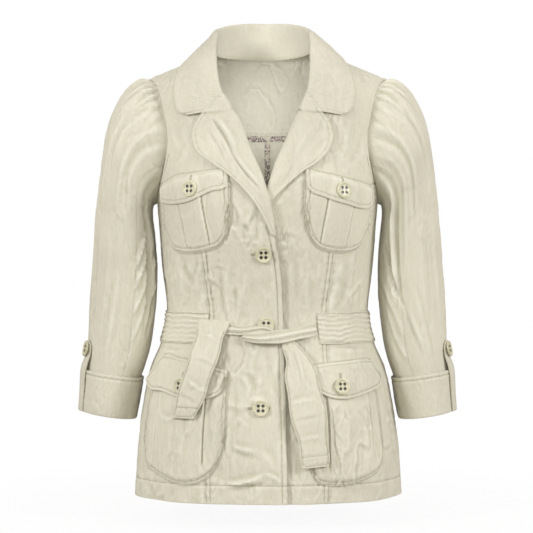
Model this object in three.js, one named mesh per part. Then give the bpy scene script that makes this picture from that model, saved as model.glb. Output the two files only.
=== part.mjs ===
import * as THREE from "three";

// Women's safari jacket in crushed linen, in the hollow form that it has when it is worn.
// Millimetres, +Z up, the front towards -Y. The origin is the middle of the neck base.
// "right" and "left" are the wearer's, so right is -X.

// Driving sizes
const layer = 1.6;
const thinLayer = 1.0;
const seamGap = 0.5;
const restGap = 0.8;
const bodyPower = 2.3;
const chestLine = -95;
const hemLevel = -621;
const yokeSeam = -102;
const neckPointZ = 15;
const neckPointX = 75;
const shoulderTipX = 172;
const shoulderFall = 39;
const underLap = 6.6;
const neckEdgeX = { right: -75, left: 63 };
const armhole = { centreZ: -115, halfHeight: 90, halfDepth: 62 };
const princessTop = -155;
const quarter = Math.PI / 2;

// Half width and depths of the body at each level
const bodyRows = [
  { z: -640, halfWidth: 192, front: 133, back: 130 },
  { z: -568, halfWidth: 188, front: 131, back: 126 },
  { z: -532, halfWidth: 185, front: 127, back: 122 },
  { z: -507, halfWidth: 182, front: 124, back: 119 },
  { z: -460, halfWidth: 174, front: 118, back: 112 },
  { z: -435, halfWidth: 167, front: 113, back: 107 },
  { z: -402, halfWidth: 153, front: 105, back: 98 },
  { z: -362, halfWidth: 145, front: 99, back: 91 },
  { z: -303, halfWidth: 151, front: 108, back: 92 },
  { z: -240, halfWidth: 156, front: 121, back: 98 },
  { z: -200, halfWidth: 159, front: 124, back: 104 },
  { z: -160, halfWidth: 160, front: 117, back: 108 },
  { z: -115, halfWidth: 162, front: 107, back: 108 },
  { z: -68, halfWidth: 167, front: 103, back: 106 },
  { z: -24, halfWidth: 172, front: 100, back: 104 },
];

// Princess seam of a front, as a distance from the middle
const princessRows = [
  { z: -624, x: 86 },
  { z: -500, x: 88 },
  { z: -402, x: 84 },
  { z: -362, x: 83 },
  { z: -300, x: 90 },
  { z: -230, x: 99 },
  { z: -200, x: 106 },
  { z: -175, x: 120 },
  { z: -155, x: 138 },
];

// Front edge, then the roll line of the lapel and collar, up to the neck point
const rightEdgeRows = [
  { z: -624, x: 27 },
  { z: -490, x: 25 },
  { z: -402, x: 22 },
  { z: -331, x: 20 },
  { z: -290, x: 16 },
  { z: -258, x: 10 },
  { z: -215, x: 3 },
  { z: -178, x: -6 },
  { z: -130, x: -27 },
  { z: -96, x: -39 },
  { z: -76, x: -50 },
  { z: -59, x: -62 },
  { z: -42, x: -69 },
  { z: -15, x: -74 },
  { z: 16, x: -75 },
];
const leftEdgeRows = [
  { z: -624, x: -22 },
  { z: -402, x: -24 },
  { z: -290, x: -24 },
  { z: -258, x: -20 },
  { z: -215, x: -9 },
  { z: -181, x: 3 },
  { z: -141, x: 17 },
  { z: -118, x: 28 },
  { z: -87, x: 41 },
  { z: -69, x: 49 },
  { z: -51, x: 57 },
  { z: -15, x: 62 },
  { z: 20, x: 63 },
];

// Lapels, from the break up to the gorge: the roll line and the outer edge
const rightLapelRows = [
  { rollX: 9.5, rollZ: -252, outX: 4, outZ: -250 },
  { rollX: 6.5, rollZ: -232, outX: -7, outZ: -226 },
  { rollX: 2, rollZ: -210, outX: -21, outZ: -203 },
  { rollX: -3.5, rollZ: -190, outX: -41, outZ: -180 },
  { rollX: -9.5, rollZ: -170, outX: -62, outZ: -162 },
  { rollX: -18, rollZ: -150, outX: -84, outZ: -147 },
  { rollX: -26, rollZ: -132, outX: -98, outZ: -134 },
  { rollX: -32, rollZ: -115, outX: -104, outZ: -116 },
  { rollX: -38, rollZ: -98, outX: -103, outZ: -104 },
  { rollX: -43, rollZ: -88, outX: -98, outZ: -93 },
  { rollX: -49, rollZ: -79, outX: -90, outZ: -82 },
];
const leftLapelRows = [
  { rollX: -19, rollZ: -252, outX: -14, outZ: -250 },
  { rollX: -15, rollZ: -232, outX: -5, outZ: -226 },
  { rollX: -7.5, rollZ: -210, outX: 8, outZ: -202 },
  { rollX: 0, rollZ: -190, outX: 28, outZ: -181 },
  { rollX: 7, rollZ: -170, outX: 50, outZ: -163 },
  { rollX: 13.5, rollZ: -150, outX: 70, outZ: -150 },
  { rollX: 21.5, rollZ: -132, outX: 84, outZ: -134 },
  { rollX: 29.5, rollZ: -115, outX: 90, outZ: -116 },
  { rollX: 37, rollZ: -98, outX: 88, outZ: -103 },
  { rollX: 41.5, rollZ: -88, outX: 83, outZ: -92 },
  { rollX: 46, rollZ: -79, outX: 76, outZ: -82 },
];

// Collar, from its front end to the middle of the back. In front the neck seam is at a
// height on the roll line, and behind it is at a share of the neck's half width. The
// stand rises along a direction that turns from outward to upward.
const collarRows = [
  { side: -1, seamZ: -77, rise: 4.4, up: 0, edgeX: 114, edgeZ: -78 },
  { side: -1, seamZ: -64, rise: 5, up: 0.1, edgeX: 121, edgeZ: -68 },
  { side: -1, seamZ: -47, rise: 7, up: 0.3, edgeX: 125, edgeZ: -52 },
  { side: -1, seamZ: -26, rise: 13, up: 0.65, edgeX: 124, edgeZ: -32 },
  { side: -1, seamZ: -8, rise: 18, up: 0.85, edgeX: 118, edgeZ: -15 },
  { side: -1, seamZ: 6, rise: 21, up: 0.95, edgeX: 113, edgeZ: -6 },
  { side: -1, seamZ: 14, rise: 25, up: 1, edgeX: 107, edgeZ: 8 },
  { side: 1, share: 0.985, rise: 29, up: 1, edgeX: 102, edgeZ: -3 },
  { side: 1, share: 0.88, rise: 35, up: 1, edgeX: 93, edgeZ: -6 },
  { side: 1, share: 0.68, rise: 41, up: 1, edgeX: 77, edgeZ: -10 },
  { side: 1, share: 0.36, rise: 45.5, up: 1, edgeX: 41, edgeZ: -12 },
  { side: 1, share: 0, rise: 46.5, up: 1, edgeX: 0, edgeZ: -12 },
];
const collarLean = -5;

// Sleeve from the armhole to its end inside the cuff: outer and inner point and half depth
const sleeveRows = [
  { outX: 186, outZ: -27, inX: 166, inZ: -207, depth: 68, tuck: 19 },
  { outX: 206, outZ: -43, inX: 167, inZ: -214, depth: 72, tuck: 8 },
  { outX: 222, outZ: -69, inX: 166.5, inZ: -223, depth: 74, tuck: 3 },
  { outX: 232, outZ: -98, inX: 165, inZ: -235, depth: 74, tuck: 0 },
  { outX: 238, outZ: -132, inX: 163, inZ: -252, depth: 72, tuck: 0 },
  { outX: 243, outZ: -175, inX: 161, inZ: -275, depth: 70, tuck: 0 },
  { outX: 249, outZ: -230, inX: 160, inZ: -305, depth: 67, tuck: 0 },
  { outX: 253, outZ: -285, inX: 161, inZ: -340, depth: 64, tuck: 0 },
  { outX: 257, outZ: -340, inX: 165, inZ: -378, depth: 62, tuck: 0 },
  { outX: 259, outZ: -390, inX: 170, inZ: -412, depth: 60, tuck: 0 },
  { outX: 260, outZ: -420, inX: 177, inZ: -437, depth: 58, tuck: 0 },
  { outX: 263, outZ: -445, inX: 184, inZ: -459, depth: 56.5, tuck: 0 },
  { outX: 268, outZ: -499, inX: 194, inZ: -512, depth: 54.5, tuck: 0 },
];
const cuffRows = [
  { outX: 268, outZ: -441, inX: 179, inZ: -455, depth: 61, tuck: 0 },
  { outX: 270, outZ: -471, inX: 184, inZ: -485, depth: 60, tuck: 0 },
  { outX: 272, outZ: -500, inX: 189.5, inZ: -514, depth: 59, tuck: 0 },
];
const gathers = { count: 7, reach: 1.05, rise: 1.7, rows: [1, 1, 0.7, 0.35] };

// Colours and finish
const linen = { color: 0xdcd4bc, roughness: 0.9, metalness: 0 };
const print = { color: 0xb9b3b6, roughness: 0.85, metalness: 0 };
const horn = { color: 0xe6dcb4, roughness: 0.4, metalness: 0 };

const jacket = new THREE.Group();

// Smooth curve through the rows of a table, read from one column to another
function curveOf(rows, from, to) {
  const last = rows.length - 1;
  const slope = (i) => {
    const before = rows[Math.max(i - 1, 0)];
    const after = rows[Math.min(i + 1, last)];
    return (after[to] - before[to]) / (after[from] - before[from]);
  };
  return (at) => {
    const place = THREE.MathUtils.clamp(at, rows[0][from], rows[last][from]);
    let i = 0;
    while (i < last - 1 && rows[i + 1][from] < place) {
      i += 1;
    }
    const span = rows[i + 1][from] - rows[i][from];
    const t = (place - rows[i][from]) / span;
    const lift = t * t * (3 - 2 * t);
    const leave = t * (1 - t) * (1 - t) * slope(i) * span;
    const arrive = t * t * (1 - t) * slope(i + 1) * span;
    return rows[i][to] * (1 - lift) + rows[i + 1][to] * lift + leave - arrive;
  };
}

const halfWidth = curveOf(bodyRows, "z", "halfWidth");
const frontDepth = curveOf(bodyRows, "z", "front");
const backDepth = curveOf(bodyRows, "z", "back");
const princess = curveOf(princessRows, "z", "x");
const rightEdge = curveOf(rightEdgeRows, "z", "x");
const leftEdge = curveOf(leftEdgeRows, "z", "x");

function shoulderZ(x) {
  const fall = shoulderFall / (shoulderTipX - neckPointX);
  return neckPointZ - (Math.abs(x) - neckPointX) * fall;
}

// Soft upright folds that the gathered waist gives the skirt, as a share of the radius
function skirtFold(turn, z) {
  const below = THREE.MathUtils.smoothstep(-z, 400, hemLevel * -1);
  const round = 0.4 + 0.6 * THREE.MathUtils.smoothstep(Math.abs(turn), 1.2, 2.2);
  return 0.024 * below * round * Math.sin(9 * turn + 0.6);
}

// A point of the body. The climb is in millimetres up to the chest line, and above it
// an angle in which the cloth rounds over to the shoulder seam. Side is -1 in front.
function bodyPoint(side, theta, climb) {
  const across = Math.sign(theta) * Math.abs(Math.sin(theta)) ** (2 / bodyPower);
  const deep = Math.max(Math.cos(theta), 0) ** (2 / bodyPower);
  let z = chestLine + Math.min(climb, 0);
  let x = halfWidth(z) * across;
  let round = 1;
  if (climb > 0) {
    round = Math.cos(climb);
    for (let pass = 0; pass < 5; pass += 1) {
      z = chestLine + Math.sin(climb) * (shoulderZ(x) - chestLine);
      x = halfWidth(z) * across;
    }
  }
  const turn = side < 0 ? theta : Math.sign(theta || 1) * (Math.PI - Math.abs(theta));
  const swell = 1 + skirtFold(turn, z);
  const depth = (side < 0 ? frontDepth(z) : backDepth(z)) * deep * round;
  return new THREE.Vector3(x * swell, side * (depth * swell + seamGap / 2), z);
}

// The point and the outward direction there
function bodyFrame(side, theta, climb) {
  const turnStep = 0.01;
  const climbStep = climb < 0 ? 1 : 0.01;
  const point = bodyPoint(side, theta, climb);
  if (climb > quarter - climbStep) {
    const fall = shoulderFall / (shoulderTipX - neckPointX);
    return { point, normal: new THREE.Vector3(Math.sign(theta) * fall, 0, 1).normalize() };
  }
  const turnLow = Math.max(theta - turnStep, -quarter);
  const turnHigh = Math.min(theta + turnStep, quarter);
  const climbHigh = Math.min(climb + climbStep, quarter);
  const along = bodyPoint(side, turnHigh, climb).sub(bodyPoint(side, turnLow, climb));
  const up = bodyPoint(side, theta, climbHigh).sub(bodyPoint(side, theta, climb - climbStep));
  const normal = along.cross(up).normalize();
  const outward = point.clone().sub(new THREE.Vector3(0, 0, point.z - 50));
  return { point, normal: normal.dot(outward) < 0 ? normal.negate() : normal };
}

function thetaAt(x, z) {
  const share = Math.min(Math.abs(x) / halfWidth(z), 1);
  return Math.sign(x) * Math.asin(share ** (bodyPower / 2));
}

function climbAt(x, z) {
  if (z <= chestLine) {
    return z - chestLine;
  }
  const share = (z - chestLine) / (shoulderZ(x) - chestLine);
  return Math.asin(THREE.MathUtils.clamp(share, 0, 1));
}

// The frame on the body at an x and z that are read from the front
function frameAt(side, x, z) {
  return bodyFrame(side, thetaAt(x, z), climbAt(x, z));
}

// The turn at which a body row meets the armhole
function armTheta(side, climb) {
  let low = 0;
  let high = quarter;
  for (let pass = 0; pass < 26; pass += 1) {
    const middle = (low + high) / 2;
    const point = bodyPoint(side, middle, climb);
    const rise = (point.z - armhole.centreZ) / armhole.halfHeight;
    const reach = armhole.halfDepth * Math.sqrt(Math.max(1 - rise * rise, 0));
    if (Math.abs(point.y) - seamGap / 2 >= reach) {
      low = middle;
    } else {
      high = middle;
    }
  }
  return low;
}

// A wall between two grids of points. The place function gives an outer and inner point.
function wall(name, material, us, vs, place, closed = false) {
  const positions = [];
  const indices = [];
  for (const v of vs) {
    for (const u of us) {
      const { outer, inner } = place(u, v);
      positions.push(outer.x, outer.y, outer.z, inner.x, inner.y, inner.z);
    }
  }
  const wide = us.length;
  const at = (i, j, face) => 2 * (j * wide + (i % wide)) + face;
  const quad = (a, b, c, d) => indices.push(a, b, c, a, c, d);
  const across = closed ? wide : wide - 1;
  for (let j = 0; j < vs.length - 1; j += 1) {
    for (let i = 0; i < across; i += 1) {
      quad(at(i, j, 0), at(i + 1, j, 0), at(i + 1, j + 1, 0), at(i, j + 1, 0));
      quad(at(i, j, 1), at(i, j + 1, 1), at(i + 1, j + 1, 1), at(i + 1, j, 1));
    }
  }
  const top = vs.length - 1;
  for (let i = 0; i < across; i += 1) {
    quad(at(i, 0, 1), at(i + 1, 0, 1), at(i + 1, 0, 0), at(i, 0, 0));
    quad(at(i, top, 0), at(i + 1, top, 0), at(i + 1, top, 1), at(i, top, 1));
  }
  if (!closed) {
    for (let j = 0; j < top; j += 1) {
      quad(at(0, j, 1), at(0, j, 0), at(0, j + 1, 0), at(0, j + 1, 1));
      quad(at(wide - 1, j, 0), at(wide - 1, j, 1), at(wide - 1, j + 1, 1), at(wide - 1, j + 1, 0));
    }
  }
  addMesh(name, material, positions, indices);
}

// Adds a closed body and turns its faces outward
function addMesh(name, material, positions, indices) {
  let volume = 0;
  const corner = (k) => new THREE.Vector3().fromArray(positions, 3 * indices[k]);
  for (let k = 0; k < indices.length; k += 3) {
    volume += corner(k).dot(corner(k + 1).cross(corner(k + 2)));
  }
  if (volume < 0) {
    indices.reverse();
  }
  const geometry = new THREE.BufferGeometry();
  geometry.setAttribute("position", new THREE.Float32BufferAttribute(positions, 3));
  geometry.setIndex(indices);
  geometry.computeVertexNormals();
  const mesh = new THREE.Mesh(geometry, new THREE.MeshStandardMaterial(material));
  mesh.name = name;
  jacket.add(mesh);
}

function steps(count, from = 0, to = 1) {
  return Array.from({ length: count + 1 }, (_, i) => from + ((to - from) * i) / count);
}

// Outer and inner point of cloth that lies between two heights over a frame
function lay(frame, low, high) {
  const outer = frame.point.clone().addScaledVector(frame.normal, high);
  const inner = frame.point.clone().addScaledVector(frame.normal, low);
  return { outer, inner };
}

// The right front lies on top, so it does not sink
const noSink = () => 0;

// The left front sinks towards its edge
function leftSink(x) {
  return -underLap * (1 - THREE.MathUtils.smoothstep(x, 20, 56));
}

// The turn of a front edge or roll line at a row
function edgeTheta(edge, climb) {
  let z = chestLine + Math.min(climb, 0);
  for (let pass = 0; pass < 8 && climb > 0; pass += 1) {
    z = chestLine + Math.sin(climb) * (shoulderZ(edge(z)) - chestLine);
  }
  return thetaAt(edge(z), z);
}

const degrees = Math.PI / 180;
const lowLevels = [hemLevel, -580, -540, -500, -465, -432, -402, -382, -362, -335, -300, -268, -240, -215];
const seamLevels = [armhole.centreZ - armhole.halfHeight, -186, -169];
const frontLevels = [...lowLevels, ...seamLevels, princessTop + 0.1, princessTop + 0.8, -125];
const frontClimbs = [...frontLevels.map((z) => z - chestLine), 0, 0.26, 0.52, 0.78, 1.05, 1.32, quarter];

function addFront(name, hand, edge, sinkOf) {
  wall(name, linen, steps(7), frontClimbs, (u, climb) => {
    const z = chestLine + climb;
    const armSide = hand * armTheta(-1, climb);
    const seamSide = thetaAt(hand * (princess(z) - seamGap / 2), z);
    const outerEnd = climb < princessTop + 0.5 - chestLine ? seamSide : armSide;
    const theta = THREE.MathUtils.lerp(edgeTheta(edge, climb), outerEnd, u);
    const frame = bodyFrame(-1, theta, climb);
    const sink = sinkOf(frame.point.x);
    return lay(frame, sink - layer, sink);
  });
}

addFront("front_right", -1, rightEdge, noSink);
addFront("front_left", 1, leftEdge, leftSink);

const sideLevels = [...lowLevels, ...seamLevels, princessTop - 0.4];

function addSideFront(name, hand) {
  wall(name, linen, steps(8), sideLevels, (u, z) => {
    const climb = z - chestLine;
    const low = thetaAt(princess(z) + seamGap / 2, z);
    const theta = THREE.MathUtils.lerp(low, armTheta(-1, climb), u);
    return lay(bodyFrame(-1, hand * theta, climb), -layer, 0);
  });
}

addSideFront("side_front_right", -1);
addSideFront("side_front_left", 1);

const backLevels = [...lowLevels, armhole.centreZ - armhole.halfHeight, -180, -155, -130, yokeSeam - seamGap];

function addBack(name, hand) {
  wall(name, linen, steps(9), backLevels, (u, z) => {
    const climb = z - chestLine;
    const low = thetaAt(seamGap / 2, z);
    const theta = THREE.MathUtils.lerp(low, armTheta(1, climb), u);
    return lay(bodyFrame(1, hand * theta, climb), -layer, 0);
  });
}

addBack("back_right", -1);
addBack("back_left", 1);

// Back yoke, whose top runs along the shoulder seams and the neck between them
const yokeColumns = [-172, -150, -125, -100, -75, -50, -25, 0, 21, 42, 63, 90, 118, 146, 172];

function neckZ(x) {
  return neckPointZ + 0.4 + 4.4 * (Math.max(x, 0) / neckEdgeX.left) ** 2;
}

function yokeTopClimb(x) {
  if (x < neckEdgeX.right || x > neckEdgeX.left) {
    return quarter;
  }
  return climbAt(x, neckZ(x));
}

function rowClimb(v, top) {
  const flatShare = 0.1;
  if (v < flatShare) {
    return (yokeSeam - chestLine) * (1 - v / flatShare);
  }
  return (top * (v - flatShare)) / (1 - flatShare);
}

wall("back_yoke", linen, yokeColumns, [0, 0.1, 0.3, 0.5, 0.7, 0.86, 1], (x, v) => {
  const share = thetaAt(x, shoulderZ(shoulderTipX)) / quarter;
  const climb = rowClimb(v, yokeTopClimb(x));
  const theta = share * armTheta(1, rowClimb(v, quarter));
  return lay(bodyFrame(1, theta, climb), -layer, 0);
});

// Bound seams on the inside of the back
const bindingHigh = -layer - 1.5;
const bindingLow = bindingHigh - thinLayer;
const bindingHalf = 4.5;
wall("binding_yoke", print, yokeColumns, [-bindingHalf, 0, bindingHalf], (x, height) => {
  const climb = yokeSeam + height - chestLine;
  const share = thetaAt(x, shoulderZ(shoulderTipX)) / quarter;
  const theta = share * (armTheta(1, climb) - 0.04);
  return lay(bodyFrame(1, theta, climb), bindingLow, bindingHigh);
});
const bindingLevels = [hemLevel + 4, ...backLevels.slice(1, -1), yokeSeam - bindingHalf - 0.8];
wall("binding_back", print, [-bindingHalf, bindingHalf], bindingLevels, (x, z) => {
  return lay(frameAt(1, x, z), bindingLow, bindingHigh);
});

// Lapels roll out from the roll line and lie on the fronts
const lapelColumns = [0, 0.06, 0.18, 0.38, 0.6, 0.8, 1];
const rollRise = [0, 2.4, 3, 2.2, 1.4, 0.7, 0.2];
const rollPull = [0.6, 0.8, 0, 0, 0, 0, 0];

function addLapel(name, hand, rows, sinkOf) {
  wall(name, linen, steps(6, 0, 6), steps(rows.length - 1), (i, v) => {
    const row = rows[Math.round(v * (rows.length - 1))];
    const share = lapelColumns[i];
    const wide = Math.abs(row.outX - row.rollX);
    const soft = Math.min(wide / 40, 1);
    const x = THREE.MathUtils.lerp(row.rollX, row.outX, share) - hand * rollPull[i];
    const z = THREE.MathUtils.lerp(row.rollZ, row.outZ, share);
    const rise = 1.4 * restGap + rollRise[i] * soft;
    const base = sinkOf(x) + rise;
    return lay(frameAt(-1, x, z), base, base + layer);
  });
}

addLapel("lapel_right", -1, rightLapelRows, noSink);
addLapel("lapel_left", 1, leftLapelRows, leftSink);

// Lifts a point that is below the shoulder line to a height over the body
function clearOf(side, point, height) {
  if (point.z > shoulderZ(point.x)) {
    return point;
  }
  const frame = frameAt(side, point.x, point.z);
  const over = point.clone().sub(frame.point).dot(frame.normal);
  return point.addScaledVector(frame.normal, Math.max(height - over, 0));
}

// Collar: the stand climbs from the neck seam, folds over and falls to the outer edge
function collarStation(row, hand, lean) {
  const inward = layer / 2 + 3 * seamGap;
  const edgeLine = hand < 0 ? rightEdge : leftEdge;
  const neckEnd = hand < 0 ? neckEdgeX.right : neckEdgeX.left;
  const seamX = row.side < 0 ? edgeLine(row.seamZ) : neckEnd * row.share;
  const seamFrame = frameAt(row.side, seamX, row.side < 0 ? row.seamZ : neckZ(seamX));
  const seam = seamFrame.point.clone().addScaledVector(seamFrame.normal, -layer / 2);
  if (row.side < 0) {
    seam.x -= hand * inward;
  } else {
    seam.z += 4 * seamGap;
  }
  const raise = seamFrame.normal.clone().setZ(0).normalize().multiplyScalar(1 - row.up);
  raise.z = row.up;
  raise.normalize();
  const drop = row.side < 0 ? 0 : neckZ(seamX) - neckPointZ;
  const fold = seam.clone().addScaledVector(raise, row.rise - drop);
  const edgeFrame = frameAt(row.side, hand * row.edgeX + lean, row.edgeZ);
  const edge = edgeFrame.point.clone().addScaledVector(edgeFrame.normal, 3.4);
  const out = edge.clone().sub(fold);
  out.addScaledVector(raise, -out.dot(raise)).normalize();
  const foldTop = fold.clone().addScaledVector(out, 2.2).addScaledVector(raise, 1.5);
  const foldOut = fold.clone().addScaledVector(out, 5);
  const leaf = [0.3, 0.65].map((share) => {
    return clearOf(row.side, foldOut.clone().lerp(edge, share).addScaledVector(edgeFrame.normal, 2), 4);
  });
  return [seam, seam.clone().lerp(fold, 0.55), fold, foldTop, foldOut, ...leaf, edge];
}

const collarStations = [];
collarRows.forEach((row, i) => {
  const lean = collarLean * (1 - THREE.MathUtils.smoothstep(i, 4, 8));
  collarStations.push(collarStation(row, -1, lean));
});
[...collarRows].reverse().slice(1).forEach((row, k) => {
  const i = collarRows.length - 2 - k;
  const lean = collarLean * (1 - THREE.MathUtils.smoothstep(i, 4, 8));
  collarStations.push(collarStation(row, 1, lean));
});

// A sheet through a net of points, thickened both ways along its own normals
function netWall(name, material, net, thickness) {
  const rows = net.length;
  const columns = net[0].length;
  wall(name, material, steps(columns - 1), steps(rows - 1), (u, v) => {
    const i = Math.round(u * (columns - 1));
    const j = Math.round(v * (rows - 1));
    const along = net[j][Math.min(i + 1, columns - 1)].clone().sub(net[j][Math.max(i - 1, 0)]);
    const up = net[Math.min(j + 1, rows - 1)][i].clone().sub(net[Math.max(j - 1, 0)][i]);
    const normal = along.cross(up).normalize();
    return lay({ point: net[j][i], normal }, -thickness / 2, thickness / 2);
  });
}

netWall("collar", linen, collarStations, layer);

// Sleeves. A ring runs from the outer point at 0 through the front at a quarter turn.
function armSeamX(side, y, z) {
  let low = 0;
  let high = halfWidth(z);
  for (let pass = 0; pass < 26; pass += 1) {
    const middle = (low + high) / 2;
    const point = bodyPoint(side, thetaAt(middle, z), climbAt(middle, z));
    if (Math.abs(point.y) > Math.abs(y)) {
      low = middle;
    } else {
      high = middle;
    }
  }
  return low;
}

function ringPoint(row, phi) {
  const c = Math.cos(phi);
  const s = Math.sin(phi);
  const x = (row.outX + row.inX) / 2 + (c * (row.outX - row.inX)) / 2 - row.tuck * s * s;
  const z = (row.outZ + row.inZ) / 2 + (c * (row.outZ - row.inZ)) / 2;
  return new THREE.Vector3(x, -row.depth * s, z);
}

function seamRingPoint(phi) {
  const inset = 0.9;
  const y = -Math.sin(phi) * armhole.halfDepth;
  const z = armhole.centreZ + Math.cos(phi) * armhole.halfHeight;
  const side = Math.sin(phi) >= 0 ? -1 : 1;
  const shrink = 1 - inset / armhole.halfDepth;
  const low = armhole.centreZ + Math.cos(phi) * (armhole.halfHeight - inset);
  return new THREE.Vector3(armSeamX(side, y, z) + 0.7, y * shrink, low);
}

function gatherRise(phi, index) {
  if (index >= gathers.rows.length || Math.abs(phi) > gathers.reach) {
    return 0;
  }
  const wave = Math.sin((phi / gathers.reach) * gathers.count * Math.PI);
  return gathers.rise * gathers.rows[index] * wave;
}

// A point of the sleeve or cuff on a row of its table. With a seam, row 0 is the armhole.
function sleevePoint(rows, index, phi, withSeam) {
  if (withSeam && index === 0) {
    return seamRingPoint(phi);
  }
  const at = withSeam ? index - 1 : index;
  const point = ringPoint(rows[at], phi);
  const middle = ringPoint(rows[at], 0).add(ringPoint(rows[at], Math.PI)).multiplyScalar(0.5);
  const rise = withSeam ? gatherRise(phi, at) : 0;
  return point.addScaledVector(point.clone().sub(middle).normalize(), rise);
}

function sleeveWall(name, hand, rows, phis, withSeam, closed) {
  const last = rows.length - (withSeam ? 0 : 1);
  const spot = (index, phi) => sleevePoint(rows, THREE.MathUtils.clamp(index, 0, last), phi, withSeam);
  const turnStep = 0.04;
  wall(name, linen, phis, steps(last, 0, last), (phi, index) => {
    const point = spot(index, phi);
    const along = spot(index, phi + turnStep).sub(spot(index, phi - turnStep));
    const down = spot(index + 1, phi).sub(spot(index - 1, phi));
    const normal = along.cross(down).normalize();
    for (const vector of [point, normal]) {
      vector.x *= hand;
    }
    return lay({ point, normal }, -layer, 0);
  }, closed);
}

const capPhis = steps(3 * gathers.count, -gathers.reach, gathers.reach);
const sleeveSeamPhi = 115 * degrees;
const upperPhis = [
  ...steps(4, -sleeveSeamPhi, -gathers.reach).slice(0, -1),
  ...capPhis,
  ...steps(4, gathers.reach, sleeveSeamPhi).slice(1),
];
const seamTurn = 0.007;
const underPhis = steps(8, sleeveSeamPhi + seamTurn, 2 * Math.PI - sleeveSeamPhi - seamTurn);
const ringPhis = steps(22, 0, 2 * Math.PI).slice(0, -1);
const tab = { phi: 26 * degrees, half: 13 * degrees };

function addSleeve(handName, hand) {
  sleeveWall(`upper_sleeve_${handName}`, hand, sleeveRows, upperPhis, true, false);
  sleeveWall(`under_sleeve_${handName}`, hand, sleeveRows, underPhis, true, false);
  sleeveWall(`cuff_${handName}`, hand, cuffRows, ringPhis, false, true);
}

addSleeve("right", -1);
addSleeve("left", 1);

// Button tabs run from the cuff's lower edge up over it to the sleeve
const tabRows = [
  { on: "cuff", row: 2, out: 0.6, wide: 1 },
  { on: "cuff", row: 1, out: 0.6, wide: 1 },
  { on: "cuff", row: 0, out: 0.6, wide: 1 },
  { on: "sleeve", row: 10, out: 1.6, wide: 1 },
  { on: "sleeve", row: 9.35, out: 0.9, wide: 0.5 },
];

function sleeveRowAt(place) {
  const i = Math.min(Math.floor(place), sleeveRows.length - 2);
  const t = place - i;
  const mixed = {};
  for (const key of Object.keys(sleeveRows[0])) {
    mixed[key] = THREE.MathUtils.lerp(sleeveRows[i][key], sleeveRows[i + 1][key], t);
  }
  return mixed;
}

function outwardFrame(row, phi, hand) {
  const point = ringPoint(row, phi);
  const ahead = ringPoint(row, phi + 0.01).sub(ringPoint(row, phi - 0.01));
  const lean = new THREE.Vector3(row.inX - row.outX, 0, row.inZ - row.outZ).normalize();
  const down = new THREE.Vector3(-lean.z, 0, lean.x);
  const normal = ahead.cross(down).normalize();
  if (normal.x < 0) {
    normal.negate();
  }
  point.x *= hand;
  normal.x *= hand;
  return { point, normal };
}

function addTab(name, hand) {
  wall(name, linen, steps(4, -1), steps(4, 0, 4), (u, j) => {
    const spec = tabRows[j];
    const row = spec.on === "cuff" ? cuffRows[spec.row] : sleeveRowAt(spec.row);
    const frame = outwardFrame(row, tab.phi + u * tab.half * spec.wide, hand);
    return lay(frame, spec.out, spec.out + layer);
  });
}

addTab("tab_right", -1);
addTab("tab_left", 1);

// Pockets and flaps are laid on the body from the x and z of their outline.
// Each outline is a table of columns across the piece with its top and bottom.
const chestFlap = {
  right: [
    { x: -149, top: -182, bottom: -205 },
    { x: -142, top: -177, bottom: -210 },
    { x: -125, top: -169, bottom: -211 },
    { x: -106, top: -167, bottom: -208 },
    { x: -90, top: -165, bottom: -201 },
    { x: -75, top: -163, bottom: -194 },
    { x: -62, top: -162, bottom: -192 },
    { x: -54, top: -161, bottom: -187 },
  ],
  left: [
    { x: 52, top: -157, bottom: -184 },
    { x: 60, top: -159, bottom: -194 },
    { x: 75, top: -163, bottom: -199 },
    { x: 92, top: -166, bottom: -205 },
    { x: 108, top: -170, bottom: -209 },
    { x: 124, top: -173, bottom: -213 },
    { x: 138, top: -177, bottom: -213 },
    { x: 145, top: -180, bottom: -206 },
  ],
};
const chestBag = {
  right: [
    { x: -146, top: -185, bottom: -240 },
    { x: -134, top: -180, bottom: -270 },
    { x: -123, top: -176, bottom: -276 },
    { x: -110, top: -172, bottom: -277 },
    { x: -97, top: -170, bottom: -276 },
    { x: -84, top: -168, bottom: -273 },
    { x: -70, top: -166, bottom: -268 },
    { x: -58, top: -174, bottom: -252 },
    { x: -51, top: -182, bottom: -225 },
  ],
  left: [
    { x: 50, top: -176, bottom: -225 },
    { x: 58, top: -170, bottom: -252 },
    { x: 70, top: -167, bottom: -268 },
    { x: 83, top: -170, bottom: -274 },
    { x: 96, top: -173, bottom: -276 },
    { x: 109, top: -175, bottom: -276 },
    { x: 121, top: -179, bottom: -274 },
    { x: 132, top: -183, bottom: -266 },
    { x: 143, top: -187, bottom: -240 },
  ],
};
const hipFlap = {
  right: [
    { x: -170, top: -424, bottom: -454 },
    { x: -158, top: -419, bottom: -467 },
    { x: -143, top: -420, bottom: -470 },
    { x: -126, top: -422, bottom: -475 },
    { x: -110, top: -424, bottom: -480 },
    { x: -94, top: -428, bottom: -479 },
    { x: -76, top: -432, bottom: -477 },
    { x: -62, top: -436, bottom: -468 },
    { x: -56, top: -438, bottom: -450 },
  ],
  left: [
    { x: 60, top: -430, bottom: -448 },
    { x: 67, top: -429, bottom: -466 },
    { x: 82, top: -427, bottom: -476 },
    { x: 98, top: -426, bottom: -479 },
    { x: 112, top: -425, bottom: -478 },
    { x: 127, top: -424, bottom: -474 },
    { x: 142, top: -423, bottom: -469 },
    { x: 155, top: -423, bottom: -462 },
    { x: 160, top: -426, bottom: -448 },
  ],
};
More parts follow.
